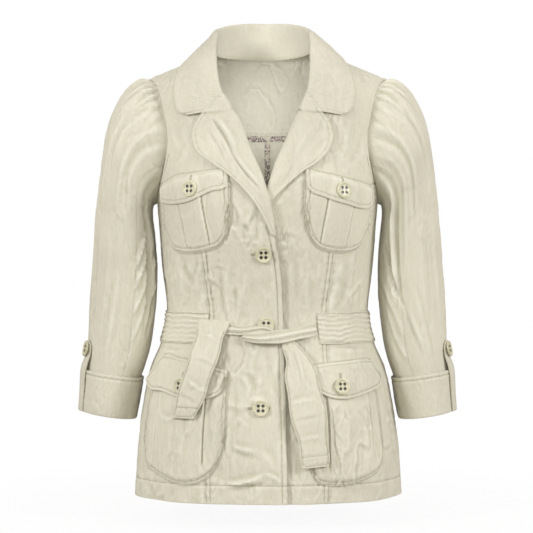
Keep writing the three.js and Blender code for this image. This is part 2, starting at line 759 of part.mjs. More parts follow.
const hipBag = {
  right: [
    { x: -173, top: -430, bottom: -540 },
    { x: -166, top: -427, bottom: -574 },
    { x: -156, top: -426, bottom: -583 },
    { x: -146, top: -426, bottom: -588 },
    { x: -130, top: -427, bottom: -594 },
    { x: -112, top: -429, bottom: -597 },
    { x: -96, top: -432, bottom: -594 },
    { x: -85, top: -434, bottom: -588 },
    { x: -72, top: -437, bottom: -574 },
    { x: -62, top: -439, bottom: -550 },
    { x: -58, top: -441, bottom: -528 },
  ],
  left: [
    { x: 56, top: -436, bottom: -568 },
    { x: 66, top: -434, bottom: -590 },
    { x: 80, top: -432, bottom: -596 },
    { x: 92, top: -431, bottom: -597 },
    { x: 106, top: -430, bottom: -597 },
    { x: 120, top: -429, bottom: -595 },
    { x: 131, top: -428, bottom: -591 },
    { x: 142, top: -428, bottom: -586 },
    { x: 150, top: -429, bottom: -580 },
    { x: 157, top: -431, bottom: -566 },
    { x: 161, top: -433, bottom: -545 },
  ],
};

// A piece laid on a front. Its relief gives the height of its inner face over the cloth
// and its thickness, from the place across it and up it.
function addLaid(name, columns, rows, level, sinkOf, relief) {
  wall(name, linen, columns, steps(rows), (column, v) => {
    const z = THREE.MathUtils.lerp(column.bottom, column.top, v);
    const across = (column.x - columns[0].x) / (columns[columns.length - 1].x - columns[0].x);
    const frame = bodyFrame(-1, thetaAt(column.x, level), climbAt(column.x, z));
    const { height, thickness } = relief(across, v);
    const low = height + sinkOf(frame.point.x);
    return lay(frame, low, low + thickness);
  });
}

function hump(t, from, to) {
  const middle = (from + to) / 2;
  return 1 - THREE.MathUtils.smoothstep(Math.abs(t - middle), (to - from) * 0.3, (to - from) * 0.62);
}

// A box pleat down the middle of a chest pocket
function chestRelief(across, v) {
  const pleat = 1.5 * hump(across, 0.3, 0.7) * hump(v, -0.4, 0.95);
  return { height: restGap + pleat, thickness: layer };
}

// A hip pocket stands off on its bellows and has a pleat near each side
function hipRelief(across, v) {
  const stand = 2.4 * hump(across, 0.02, 0.98) * hump(v, 0.04, 0.86);
  const pleat = 1.5 * (hump(across, 0.1, 0.26) + hump(across, 0.62, 0.78)) * hump(v, 0.05, 0.8);
  return { height: restGap + stand, thickness: layer + pleat };
}

const flapLayers = 2;
const chestCover = (across, v) => ({ height: 4.2 + 0.9 * (1 - v), thickness: flapLayers });
const hipCover = (across, v) => ({ height: 3.1 + 4.1 * (1 - v), thickness: flapLayers });
const chestLevels = { bag: -220, flap: -195 };
const hipLevels = { bag: -540, flap: -455 };
for (const [hand, sinkOf] of [["right", noSink], ["left", leftSink]]) {
  addLaid(`chest_pocket_${hand}`, chestBag[hand], 7, chestLevels.bag, sinkOf, chestRelief);
  addLaid(`chest_flap_${hand}`, chestFlap[hand], 4, chestLevels.flap, sinkOf, chestCover);
  addLaid(`hip_pocket_${hand}`, hipBag[hand], 9, hipLevels.bag, sinkOf, hipRelief);
  addLaid(`hip_flap_${hand}`, hipFlap[hand], 4, hipLevels.flap, sinkOf, hipCover);
}

// Waist casing round the sides and the back, with its level tucks
const casing = { top: -359, bottom: -403, tucks: 5, rise: 1.3, rightX: -83, leftX: 70 };

function casingWall(name, side, columns) {
  const rows = 2 * casing.tucks + 1;
  wall(name, linen, columns, steps(rows, casing.bottom, casing.top), (turn, z) => {
    const share = (z - casing.bottom) / (casing.top - casing.bottom);
    const tuck = 0.5 - 0.5 * Math.cos(share * casing.tucks * 2 * Math.PI);
    const low = restGap;
    return lay(bodyFrame(side, turn, z - chestLine), low, low + layer + casing.rise * tuck);
  });
}

const casingMiddle = (casing.top + casing.bottom) / 2;
const sideEnd = quarter - 0.002;
const sideColumns = steps(8, thetaAt(princess(casingMiddle), casingMiddle), sideEnd);
const backColumns = steps(9, 0, sideEnd);
const mirrored = (columns) => columns.map((turn) => -turn).reverse();
const frontStart = (x) => (Math.abs(x) < princess(casingMiddle) ? [thetaAt(Math.abs(x), casingMiddle)] : []);
casingWall("casing_right", -1, mirrored([...frontStart(casing.rightX), ...sideColumns]));
casingWall("casing_left", -1, [...frontStart(casing.leftX), ...sideColumns]);
casingWall("casing_back", 1, [...mirrored(backColumns).slice(0, -1), ...backColumns]);

// The tie comes out of the casing, crosses in front and hangs in two flat ends. A skew
// turns the cut across a strip.
const tieRows = {
  tie_strand_right: [
    { x: -80, z: -381, half: 9, low: 0.6 },
    { x: -60, z: -382, half: 8, low: 1.6 },
    { x: -38, z: -384, half: 6.5, low: 3 },
    { x: -18, z: -383, half: 6, low: 3.8 },
    { x: -4, z: -383, half: 5.5, low: 3.8 },
    { x: 8, z: -386, half: 4, low: 3.8 },
  ],
  tie_strand_left: [
    { x: 67, z: -381, half: 9, low: 0.6 },
    { x: 48, z: -387, half: 9, low: 2.6 },
    { x: 28, z: -392, half: 9, low: 6.6 },
    { x: 8, z: -394, half: 9, low: 7.4 },
    { x: -14, z: -395, half: 7.5, low: 7.4 },
    { x: -34, z: -394, half: 4, low: 7.4 },
  ],
  tie_tail_right: [
    { x: -66, z: -372, half: 14, low: 4.4 },
    { x: -73, z: -386, half: 17, low: 5.6 },
    { x: -79, z: -405, half: 18, low: 8 },
    { x: -86, z: -430, half: 18, low: 12.8 },
    { x: -95, z: -458, half: 17.5, low: 13.6 },
    { x: -103, z: -484, half: 17, low: 12.6, skew: 3 },
    { x: -112, z: -506, half: 16, low: 10, skew: 6 },
  ],
  tie_tail_left: [
    { x: 29, z: -408, half: 10, low: 4.2 },
    { x: 40, z: -428, half: 17, low: 7.2 },
    { x: 46, z: -453, half: 22, low: 9.8 },
    { x: 52, z: -484, half: 24, low: 9.8 },
    { x: 58, z: -518, half: 22, low: 9 },
    { x: 62, z: -547, half: 20, low: 8.6 },
    { x: 64, z: -570, half: 18, low: 8 },
  ],
};

for (const [name, rows] of Object.entries(tieRows)) {
  wall(name, linen, [-1, -0.4, 0.4, 1], steps(rows.length - 1, 0, rows.length - 1), (u, i) => {
    const row = rows[i];
    const next = rows[Math.min(i + 1, rows.length - 1)];
    const before = rows[Math.max(i - 1, 0)];
    const run = new THREE.Vector2(next.x - before.x, next.z - before.z).normalize();
    const x = row.x - run.y * row.half * u;
    const z = row.z + (run.x * row.half + (row.skew || 0)) * u;
    const crown = 0.8 * (1 - u * u);
    return lay(frameAt(-1, x, z), row.low + crown, row.low + crown + 2);
  });
}

// Four-hole buttons
const button = { radius: 11.3, holeReach: 3.1, holeRadius: 1.3, holeSides: 5, thickness: 2.6 };
const buttonShape = new THREE.Shape();
buttonShape.absarc(0, 0, button.radius, 0, 2 * Math.PI, false);
for (const corner of [45, 135, 225, 315]) {
  const x = button.holeReach * Math.cos(corner * degrees);
  const y = button.holeReach * Math.sin(corner * degrees);
  const rim = steps(button.holeSides, 0, 2 * Math.PI).slice(0, -1).map((turn) => {
    return new THREE.Vector2(x + button.holeRadius * Math.cos(turn), y - button.holeRadius * Math.sin(turn));
  });
  buttonShape.holes.push(new THREE.Path(rim));
}

function addButton(name, frame, height) {
  const options = { depth: button.thickness, bevelEnabled: false, curveSegments: 9 };
  const geometry = new THREE.ExtrudeGeometry(buttonShape, options);
  const mesh = new THREE.Mesh(geometry, new THREE.MeshStandardMaterial(horn));
  mesh.name = name;
  mesh.position.copy(frame.point).addScaledVector(frame.normal, height);
  mesh.quaternion.setFromUnitVectors(new THREE.Vector3(0, 0, 1), frame.normal);
  jacket.add(mesh);
}

const bodyButtons = [
  { name: "button_front_top", x: -5.5, z: -279, height: 0.9 },
  { name: "button_front_waist", x: -2, z: -377, height: 0.9 },
  { name: "button_front_low", x: -9.4, z: -490, height: 0.9 },
  { name: "button_chest_right", x: -104, z: -188, height: 7 },
  { name: "button_chest_left", x: 102, z: -190, height: 7 },
  { name: "button_hip_right", x: -115.5, z: -462, height: 9.4 },
  { name: "button_hip_left", x: 100, z: -462, height: 8.9 },
];
for (const spec of bodyButtons) {
  addButton(spec.name, frameAt(-1, spec.x, spec.z), spec.height);
}
for (const [handName, hand] of [["right", -1], ["left", 1]]) {
  const frame = outwardFrame(sleeveRowAt(9.75), tab.phi, hand);
  addButton(`button_tab_${handName}`, frame, 4.6);
}

export default jacket;
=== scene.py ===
"""Dresses a linen safari jacket: fine cloth over its solids, stitching, buttons, stage and camera."""

import math

import bpy
import numpy as np
from mathutils import Matrix, Vector
from mathutils.bvhtree import BVHTree


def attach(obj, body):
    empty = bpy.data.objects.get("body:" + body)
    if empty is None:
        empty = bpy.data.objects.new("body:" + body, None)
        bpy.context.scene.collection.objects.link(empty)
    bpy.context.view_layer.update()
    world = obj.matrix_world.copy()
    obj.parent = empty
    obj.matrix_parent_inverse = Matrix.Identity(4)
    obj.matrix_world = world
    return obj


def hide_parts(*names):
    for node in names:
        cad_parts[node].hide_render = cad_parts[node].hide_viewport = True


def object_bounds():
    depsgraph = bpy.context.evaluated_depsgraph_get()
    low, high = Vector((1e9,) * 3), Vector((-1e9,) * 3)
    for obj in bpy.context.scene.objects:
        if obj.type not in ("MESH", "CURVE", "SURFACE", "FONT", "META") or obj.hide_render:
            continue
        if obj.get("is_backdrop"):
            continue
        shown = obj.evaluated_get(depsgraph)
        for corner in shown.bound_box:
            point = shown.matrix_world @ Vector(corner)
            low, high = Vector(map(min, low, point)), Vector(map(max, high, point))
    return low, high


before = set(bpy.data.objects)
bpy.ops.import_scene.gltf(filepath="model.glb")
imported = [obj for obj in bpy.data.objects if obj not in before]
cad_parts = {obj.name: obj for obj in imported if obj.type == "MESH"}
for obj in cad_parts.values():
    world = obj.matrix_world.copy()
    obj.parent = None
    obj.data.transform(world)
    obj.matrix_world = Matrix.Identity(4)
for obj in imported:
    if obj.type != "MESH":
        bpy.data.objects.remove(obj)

bl_info = {
    "name": "Safari jacket",
    "version": (1, 0, 0),
    "blender": (4, 5, 0),
    "location": "View3D > Sidebar > Jacket",
    "description": "Crushed linen safari jacket in its worn form",
    "category": "Object",
}

# The cloth is worked out in millimetres, +Z up and the front towards -Y. The origin is the
# middle of the neck base, and "right" is the wearer's right, at -X.
MM = 0.001
QUARTER = math.pi / 2
HANDS = {"right": -1, "left": 1}
# Gaps between sewn pieces and between a piece and the one that it lies on
SEAM_GAP = 0.5
REST_GAP = 0.8
# Squareness of the body's level sections, and the heights where its form changes
BODY_POWER = 2.3
CHEST_LINE = -95
HEM = -621
YOKE_SEAM = -102
PRINCESS_TOP = -178
# Shoulder seam: its neck end, how far out its tip is, and its fall
NECK_POINT = (75, 15)
NECK_EDGE = {"right": -75, "left": 63}
SHOULDER_TIP = 172
SHOULDER_FALL = 39 / 97
# Armhole: its middle height, half height and half depth
ARMHOLE_Z, ARMHOLE_HEIGHT, ARMHOLE_DEPTH = -115, 90, 62
# How deep the left front's edge lies under the right front
UNDER_LAP = 6.6


def table(columns, *rows):
    """A table as a dict of arrays, one for each named column."""
    return {name: np.array(values, float) for name, values in zip(columns.split(), zip(*rows))}


# Level sections of the body: half width, depth in front and depth behind
BODY = table(
    "z half_width front back",
    (-640, 192, 133, 130), (-568, 188, 131, 126), (-532, 185, 127, 122), (-507, 182, 124, 119),
    (-460, 174, 118, 112), (-435, 167, 113, 107), (-402, 153, 105, 98), (-362, 145, 99, 91),
    (-303, 151, 108, 92), (-240, 156, 121, 98), (-200, 159, 124, 104), (-160, 160, 117, 108),
    (-115, 162, 107, 108), (-68, 167, 103, 106), (-24, 172, 100, 104),
)
# Seam between a front and its side front
PRINCESS = table(
    "z x",
    (-624, 86), (-500, 88), (-402, 84), (-362, 83), (-300, 90), (-230, 99), (-212, 106),
    (-195, 123), (-178, 149),
)
# Front edge, then the roll line of the lapel and collar, up to the neck point
EDGE = {
    "right": table(
        "z x",
        (-624, 27), (-490, 25), (-402, 22), (-331, 20), (-290, 16), (-258, 10), (-215, 3),
        (-178, -6), (-130, -27), (-96, -39), (-76, -50), (-59, -62), (-42, -69), (-15, -74),
        (16, -75),
    ),
    "left": table(
        "z x",
        (-624, -22), (-402, -24), (-290, -24), (-258, -20), (-215, -9), (-181, 3), (-141, 17),
        (-118, 28), (-87, 41), (-69, 49), (-51, 57), (-15, 62), (20, 63),
    ),
}
# Lapels, from the break up to the gorge: the roll line and the outer edge
LAPEL = {
    "right": table(
        "roll_x roll_z out_x out_z",
        (9.5, -252, 4, -250), (6.5, -232, -7, -226), (2, -210, -21, -203), (-3.5, -190, -41, -180),
        (-9.5, -170, -62, -162), (-18, -150, -84, -147), (-26, -132, -98, -134),
        (-32, -115, -104, -116), (-38, -98, -103, -104), (-43, -88, -98, -93), (-49, -79, -90, -82),
        (-53, -70, -85, -76), (-58, -61, -74, -67), (-61, -55, -64, -58),
    ),
    "left": table(
        "roll_x roll_z out_x out_z",
        (-19, -252, -14, -250), (-15, -232, -5, -226), (-7.5, -210, 8, -202), (0, -190, 28, -181),
        (7, -170, 50, -163), (13.5, -150, 70, -150), (21.5, -132, 84, -134), (29.5, -115, 90, -116),
        (37, -98, 88, -103), (41.5, -88, 83, -92), (46, -79, 76, -82), (49, -70, 71, -76),
        (52, -61, 64, -67), (54, -55, 57, -58),
    ),
}
# How a lapel rolls over the front's edge, across it: share of its width, height and pull back
LAPEL_ROLL = table(
    "share rise pull",
    (0, -3.4, -1), (0, -2.4, 1), (0, -0.4, 1.7), (0.02, 1.4, 1.3), (0.06, 2.5, 0.8),
    (0.18, 3, 0), (0.38, 2.3, 0), (0.6, 1.8, 0), (0.8, 1.9, 0), (1, 2.3, 0),
)
# Collar from its front end to the middle of the back. In front the neck seam is given by
# its height, and behind by its share of the neck's half width.
COLLAR = table(
    "side seam rise up edge_x edge_z",
    (-1, -77, 4.4, 0, 106, -84), (-1, -64, 5, 0.1, 121, -76), (-1, -47, 7, 0.3, 126, -55),
    (-1, -26, 13, 0.65, 124, -32), (-1, -8, 18, 0.85, 118, -15), (-1, 6, 21, 0.95, 113, -6),
    (-1, 14, 25, 1, 107, 8), (1, 0.985, 29, 1, 102, -3), (1, 0.88, 35, 1, 93, -6),
    (1, 0.68, 41, 1, 77, -10), (1, 0.36, 45.5, 1, 41, -12), (1, 0, 46.5, 1, 0, -12),
)
# How far the collar's front ends are swung to one side
COLLAR_LEAN = -5
# Rings of a sleeve and of a cuff, from the top: outer and inner line, half depth, and how
# far the front and back are drawn towards the body
SLEEVE = table(
    "out_x out_z in_x in_z depth tuck",
    (186, -27, 166, -207, 68, 19), (206, -43, 167, -214, 72, 8), (222, -69, 166.5, -223, 74, 3),
    (232, -98, 165, -235, 74, 0), (238, -132, 163, -252, 72, 0), (243, -175, 161, -275, 70, 0),
    (249, -230, 160, -305, 67, 0), (253, -285, 161, -340, 64, 0), (257, -340, 165, -378, 62, 0),
    (259, -390, 170, -412, 60, 0), (260, -420, 177, -437, 58, 0), (263, -445, 184, -459, 56.5, 0),
    (268, -499, 194, -512, 54.5, 0),
)
CUFF = table(
    "out_x out_z in_x in_z depth tuck",
    (268, -441, 179, -455, 61, 0), (270, -471, 184, -485, 60, 0), (272, -500, 189.5, -514, 59, 0),
)
# Waves of the sleeve's gathered head: their number, half reach in radians, height and rows
GATHERS = {"count": 7, "reach": 1.05, "rise": 1.7, "rows": (1, 1, 0.6, 0.2)}
SLEEVE_SEAM = math.radians(115)
TAB_TURN, TAB_HALF = math.radians(26), math.radians(13)
# Pockets and flaps: the top and bottom at places across them
OUTLINE = {
    "chest_flap_right": table(
        "x top bottom",
        (-149, -178, -202), (-142, -173, -206), (-125, -165, -208), (-106, -163, -205),
        (-90, -161, -198), (-75, -159, -192), (-62, -158, -190), (-54, -157, -186),
    ),
    "chest_flap_left": table(
        "x top bottom",
        (52, -157, -184), (60, -159, -194), (75, -163, -199), (92, -166, -205),
        (108, -170, -209), (124, -173, -213), (138, -177, -213), (145, -180, -206),
    ),
    "chest_pocket_right": table(
        "x top bottom",
        (-146, -185, -240), (-134, -180, -270), (-123, -176, -276), (-110, -172, -277),
        (-97, -170, -276), (-84, -168, -273), (-70, -166, -268), (-58, -174, -252),
        (-51, -182, -225),
    ),
    "chest_pocket_left": table(
        "x top bottom",
        (50, -176, -225), (58, -170, -252), (70, -167, -268), (83, -170, -274), (96, -173, -276),
        (109, -175, -276), (121, -179, -274), (132, -183, -266), (143, -187, -240),
    ),
    "hip_flap_right": table(
        "x top bottom",
        (-170, -418, -457), (-158, -417, -469), (-143, -420, -470), (-126, -422, -475),
        (-110, -424, -480), (-94, -428, -479), (-76, -432, -477), (-62, -436, -468),
        (-56, -438, -450),
    ),
    "hip_flap_left": table(
        "x top bottom",
        (60, -430, -448), (67, -429, -466), (82, -427, -476), (98, -426, -479), (112, -425, -478),
        (127, -424, -474), (142, -423, -469), (155, -423, -462), (160, -426, -448),
    ),
    "hip_pocket_right": table(
        "x top bottom",
        (-173, -430, -540), (-166, -427, -574), (-156, -426, -583), (-146, -426, -588),
        (-130, -427, -594), (-112, -429, -597), (-96, -432, -594), (-85, -434, -588),
        (-72, -437, -574), (-62, -439, -550), (-58, -441, -528),
    ),
    "hip_pocket_left": table(
        "x top bottom",
        (56, -436, -568), (66, -434, -590), (80, -432, -596), (92, -431, -597), (106, -430, -597),
        (120, -429, -595), (131, -428, -591), (142, -428, -586), (150, -429, -580),
        (157, -431, -566), (161, -433, -545),
    ),
}
# Height at which each kind is turned round the body
LEVEL = {"chest_flap": -195, "chest_pocket": -220, "hip_flap": -455, "hip_pocket": -540}
CASING = {"top": -359, "bottom": -403, "tucks": 6.5, "rise": 1.3, "right": -83, "left": 70}
BINDING = {"width": 9, "out": 2.9}
# Middle line of each part of the tie, its half width, height over the front and skew
TIE = {
    "tie_strand_right": table(
        "x z half low skew",
        (-80, -381, 9, 0.6, 0), (-60, -381, 9, 1.6, 0), (-38, -384, 7, 3, 0),
        (-18, -383, 6, 3.8, 0), (-4, -383, 5.5, 3.8, 0), (8, -386, 4, 3.8, 0),
    ),
    "tie_tail_left": table(
        "x z half low skew",
        (24, -394, 6, 1.5, 0), (31, -408, 11, 3, 0), (41, -428, 17, 5, 0), (46, -453, 22, 8, 0),
        (52, -484, 24, 9, 0), (58, -518, 22, 9, 0), (62, -547, 20, 8.6, 0), (64, -570, 18, 8, 0),
    ),
    "tie_strand_left": table(
        "x z half low skew",
        (67, -381, 9, 0.6, 0), (48, -387, 9, 2.6, 0), (28, -392, 9, 6.6, 0), (8, -394, 9, 7.4, 0),
        (-14, -395, 7.5, 7.4, 0), (-34, -394, 4, 7.4, 0),
    ),
    "tie_tail_right": table(
        "x z half low skew",
        (-72, -370, 22, 4.4, 4), (-76, -385, 20, 5.6, 2), (-80, -405, 18.5, 8, 0),
        (-86, -430, 18, 12.8, 0), (-95, -458, 17.5, 13.6, 0), (-103, -484, 17, 12.6, 3),
        (-112, -506, 16, 10, 6),
    ),
}

# Sewn sides of a patch pocket
BAG_SIDES = ("start", "end", "low")
# Topstitching of each kind of piece: the edge that it follows, its distance from that edge,
# and how far it stays from the two ends of the edge
SEAMS = {
    "front": (
        ("end", 1.8, 2, 175), ("end", 8.2, 2, 175), ("start", 7, 2, 195), ("low", 26, 0, 0),
    ),
    "side_front": (("low", 26, 0, 0), ("end", 6, 2, 60)),
    "back": (("low", 26, 0, 0), ("start", 7, 0, 0)),
    "back_yoke": (("low", 1.8, 0, 0), ("low", 8.2, 0, 0)),
    "lapel": (("end", 6, 4, 10), ("high", 6, 8, 5)),
    "collar": (("high", 6, 6, 6), ("start", 6, 38, 6), ("end", 6, 38, 6)),
    "cuff": (("low", 5.4, 0, 0),),
    "tab": (("start", 3.4, 3, 3), ("end", 3.4, 3, 3)),
    "chest_pocket": tuple((side, off, off, 2) for off in (1.8, 8.2) for side in BAG_SIDES),
    "hip_pocket": tuple((side, off, off, 2) for off in (1.8, 5.6) for side in BAG_SIDES),
    "chest_flap": (("high", 2, 2, 2), ("low", 6, 7, 7), ("start", 6, 6, 2), ("end", 6, 6, 2)),
    "hip_flap": (
        ("high", 2, 2, 2), ("high", 8, 8, 8), ("low", 5, 6, 6), ("start", 5, 5, 2), ("end", 5, 5, 2),
    ),
    "casing": (("low", 1.8, 0, 0), ("high", 1.8, 0, 0)),
    "tie_tail": (("start", 2.4, 14, 3), ("end", 2.4, 14, 3), ("high", 3, 3, 3), ("high", 16, 3, 3)),
}

# Listed creases. A row runs from a first to a second place, bends to one side by
# the bend, and is a ridge where its rise is positive and a trough where it is negative.
FOLD = "a0 b0 a1 b1 bend width rise"
FRONT_FOLDS = table(
    FOLD,
    (-124, -289, -89, -352, 3, 6, -1.6), (-112, -290, -84, -356, -2, 5, 1.3),
    (-134, -262, -118, -345, 4, 6, 1.1), (-67, -300, -62, -362, 2, 5, -1.5),
    (-56, -292, -57, -362, -2, 5, 1.3), (-44, -318, -46, -360, 1, 4, -1.1),
    (-30, -300, -38, -352, 2, 7, 0.9), (-74, -296, -60, -301, 1, 3, -0.9),
    (-42, -262, -20, -257, -1, 3, 0.8), (-40, -236, -26, -248, 2, 3, -0.9),
    (-30, -225, -22, -262, 2, 5, 0.9), (-120, -110, -128, -150, 4, 6, -1.1),
    (-138, -96, -112, -140, -4, 6, 1), (-104, -60, -120, -130, 5, 9, 0.9),
    (97, -300, 70, -362, 3, 6, -1.7), (106, -288, 84, -352, -3, 6, 1.5),
    (118, -290, 96, -356, 2, 5, -1.1), (128, -250, 112, -340, -4, 7, 1),
    (38, -280, 38, -350, 2, 5, -1.1), (55, -306, 58, -362, -2, 5, 1.2),
    (14, -253, 42, -256, 1, 3, -0.9), (15, -262, 34, -268, -1, 3, 0.8),
    (110, -262, 138, -220, 4, 5, -1.1), (118, -88, 108, -150, -4, 7, 1.1),
    (132, -104, 116, -152, 3, 5, -1), (96, -62, 112, -120, -4, 9, 0.8),
    (-40, -444, -27, -477, 7, 5, 1.9), (-27, -478, 2, -486, 4, 5, 1.4),
    (-34, -440, -18, -470, 6, 5, -1.3), (-50, -539, -16, -546, -4, 4, 1.5),
    (-48, -546, -14, -556, -3, 5, -1.2), (-14, -548, 8, -572, 3, 6, 1),
    (-60, -592, -4, -579, -5, 4, 2.2), (-4, -578, 19, -590, 1, 3, 2.1),
    (-56, -599, -2, -588, -5, 4, -1.6), (-48, -452, -44, -534, 3, 7, -1.5),
    (-4, -410, 4, -448, 2, 6, -1), (-18, -408, -22, -452, -2, 6, 0.9),
    (34, -535, 44, -590, 3, 6, -1.9), (30, -440, 36, -500, -2, 6, 1),
    (166, -512, 178, -514, 1, 4, 1), (162, -552, 178, -548, -1, 4, -1),
    (44, -592, 40, -618, 1, 4, 0.9), (150, -410, 166, -420, 2, 4, -0.8),
    (-160, -414, -128, -417, 1, 3, 0.9), (-150, -408, -118, -410, -1, 3, -0.8),
    (84, -412, 142, -414, 1, 3, 0.8), (92, -406, 138, -407, -1, 3, -0.7),
    (-176, -470, -180, -560, 2, 7, 1.2), (176, -470, 180, -540, -2, 7, -1.1),
)
BACK_FOLDS = table(
    FOLD,
    (-118, -300, -92, -356, 3, 6, -1.6), (-96, -292, -80, -356, -2, 6, 1.4),
    (-60, -310, -54, -358, 2, 5, -1.3), (-36, -296, -40, -356, -2, 6, 1.2),
    (-14, -320, -16, -356, 1, 4, -1), (22, -306, 26, -358, 2, 6, 1.2),
    (48, -312, 46, -357, -1, 5, -1.3), (72, -290, 66, -356, -3, 6, 1.4),
    (104, -302, 88, -357, 2, 6, -1.5), (126, -270, 112, -352, -4, 7, 1.2),
    (-134, -262, -116, -340, 4, 7, 1.1), (-120, -150, -84, -236, 8, 9, 1.2),
    (-134, -196, -98, -262, 7, 7, -1.3), (122, -156, 90, -246, -8, 9, 1.1),
    (136, -200, 104, -268, -6, 7, -1.2), (-58, -130, -46, -236, 5, 12, 0.9),
    (62, -140, 48, -226, -5, 12, 0.8), (-128, -408, -140, -600, 6, 9, 1.4),
    (-92, -408, -100, -586, -5, 8, -1.6), (-60, -406, -66, -548, 4, 8, 1.3),
    (-28, -408, -30, -596, -3, 9, -1.3), (16, -406, 20, -560, 3, 8, 1.3),
    (50, -408, 56, -606, -4, 9, -1.6), (84, -406, 92, -570, 5, 8, 1.3),
    (120, -408, 132, -598, -5, 9, -1.4), (-40, -560, 22, -572, -6, 6, 1),
    (60, -500, 104, -512, 4, 5, 0.8), (-110, -470, -70, -480, 4, 5, -0.8),
    (-90, -60, -40, -76, 6, 8, 0.8), (92, -58, 38, -74, -6, 8, -0.8),
)
# Sleeve creases: millimetres round the sleeve from its outer line, and the height. Round
# by 120 is the middle of the front, and by 240 is the inner line.
SLEEVE_FOLDS = {
    "right": table(
        FOLD,
        (62, -64, 40, -200, 9, 6.5, 1), (84, -60, 74, -176, -6, 5.8, -1),
        (104, -70, 96, -214, 8, 6.5, 1), (126, -96, 128, -226, -5, 5.8, -0.9),
        (150, -120, 184, -250, 6, 5.8, -1.2), (182, -200, 188, -392, 4, 5, -3.2),
        (198, -214, 202, -350, 3, 6, 2), (184, -236, 150, -300, 3, 4, 1.9),
        (186, -262, 150, -330, 3, 4, 2), (188, -296, 152, -366, 3, 4, 1.9),
        (188, -330, 156, -404, 3, 4, 1.7), (216, -240, 190, -300, 3, 4, -2),
        (220, -280, 194, -345, 3, 4, 1.8), (214, -320, 196, -400, 2, 5, -1.8),
        (84, -230, 78, -400, 6, 8.5, 0.8), (48, -240, 52, -390, -5, 8.5, -0.8),
        (112, -300, 96, -430, 5, 7.6, 0.8), (20, -150, 26, -330, 4, 9.3, 0.6),
        (-30, -90, -24, -300, 6, 7.9, 0.7), (-62, -80, -52, -250, -8, 6.5, -0.8),
        (-92, -70, -84, -220, 6, 6.5, 0.8), (-120, -110, -130, -330, 7, 6.5, -1),
        (-150, -170, -146, -370, -6, 6.8, 1), (-176, -240, -130, -340, 6, 7, -1.4),
        (-190, -290, -140, -400, 5, 6, 1.5), (-80, -300, -70, -430, 5, 7.6, -0.7),
    ),
    "left": table(
        FOLD,
        (58, -60, 50, -170, 8, 5.8, 1), (80, -58, 66, -190, -7, 6.5, -0.9),
        (100, -64, 100, -190, 6, 5.8, 1), (122, -90, 112, -240, -6, 6.5, -0.9),
        (140, -120, 140, -300, -7, 5.8, 1.1), (156, -140, 150, -352, 7, 6, -2.7),
        (176, -190, 172, -352, -6, 6, 2), (200, -262, 160, -352, -6, 4, -2.1),
        (210, -310, 158, -392, -5, 6, 1.8), (186, -300, 128, -396, -6, 6, -1.5),
        (196, -350, 140, -446, 5, 6, 1.7), (170, -330, 108, -420, -6, 7, 1.2),
        (92, -240, 92, -384, -6, 8.5, -0.8), (60, -220, 56, -400, 5, 9.3, 0.8),
        (118, -320, 84, -442, -5, 6.8, -0.8), (16, -170, 14, -360, -4, 9.3, -0.6),
        (-34, -84, -28, -280, -6, 7.9, 0.7), (-66, -78, -60, -262, 7, 6.5, -0.8),
        (-96, -74, -92, -240, -6, 6.5, 0.8), (-124, -120, -122, -310, -7, 6.5, -0.9),
        (-148, -180, -152, -360, 6, 6.8, 1), (-180, -250, -136, -352, -6, 7, -1.4),
        (-192, -300, -146, -410, -5, 6, 1.4), (-86, -290, -76, -420, -5, 7.6, -0.7),
    ),
}
# Pleats of a sleeve's head: degrees round it, degrees of lean, length and rise
CAP_PLEATS = table(
    "turn lean length rise",
    (-64, -6, 26, 1), (-50, -5, 44, 1.6), (-36, -3, 34, 1.5), (-21, -2, 48, 1.8), (-7, 0, 36, 1.6),
    (7, 1, 52, 2), (18, 2, 42, 2.4), (27, 4, 60, 2.9), (36, 5, 38, 2.6), (45, 7, 52, 2.2),
    (56, 7, 30, 1.1), (67, 8, 36, 0.8),
)
LAPEL_FOLDS = {
    "right": table(
        FOLD,
        (-76, -90, -47, -142, 3, 2.6, -2.6), (-52, -134, -8, -192, -2, 2.2, -1.9),
        (-69, -90, -42, -140, 4, 3.4, 1.1), (-44, -142, -12, -180, -3, 3, 0.8),
        (-84, -104, -58, -153, 3, 2.4, -1.2), (-66, -118, -57, -142, 1, 2.4, -0.9),
    ),
    "left": table(
        FOLD, (66, -100, 36, -150, -4, 6, 0.9), (36, -150, 12, -190, 3, 5, -0.9),
        (78, -118, 60, -146, -3, 6, -0.7),
    ),
}
POCKET_FOLDS = {
    "hip_pocket_right": table(
        FOLD,
        (-120, -480, -112, -560, 3, 6, -1), (-104, -500, -118, -574, -3, 6, 0.9),
        (-92, -470, -98, -500, 2, 4, -1.2), (-84, -452, -92, -520, -2, 4, 1.2),
        (-136, -500, -134, -570, 2, 5, 0.8),
    ),
    "hip_pocket_left": table(
        FOLD,
        (112, -486, 104, -560, 3, 6, 1), (92, -500, 96, -586, -3, 7, -0.9),
        (142, -480, 148, -560, 3, 4, 1.3), (149, -500, 152, -572, -2, 4, -1.5),
        (128, -520, 124, -584, 2, 5, -1), (152, -560, 138, -586, 2, 4, 1),
    ),
}
TIE_FOLDS = {
    "tie_tail_right": table(
        FOLD, (-88, -392, -70, -398, 2, 3, 0.8), (-98, -428, -72, -437, 3, 3, -0.9),
        (-106, -452, -80, -470, -2, 3, 1.1), (-104, -470, -86, -462, 1, 3, -0.8),
        (-118, -474, -92, -486, 2, 3, -0.8), (-76, -380, -84, -424, 2, 4, 0.8),
    ),
    "tie_tail_left": table(
        FOLD,
        (27, -412, 34, -448, 2, 3, 1.4), (33, -410, 44, -456, 2, 3, -1.5),
        (38, -414, 58, -470, -3, 4, 1.2), (28, -486, 66, -478, 2, 3, 0.9),
        (34, -506, 72, -498, -2, 3, -0.8), (40, -534, 76, -530, 2, 3, 0.8),
    ),
}


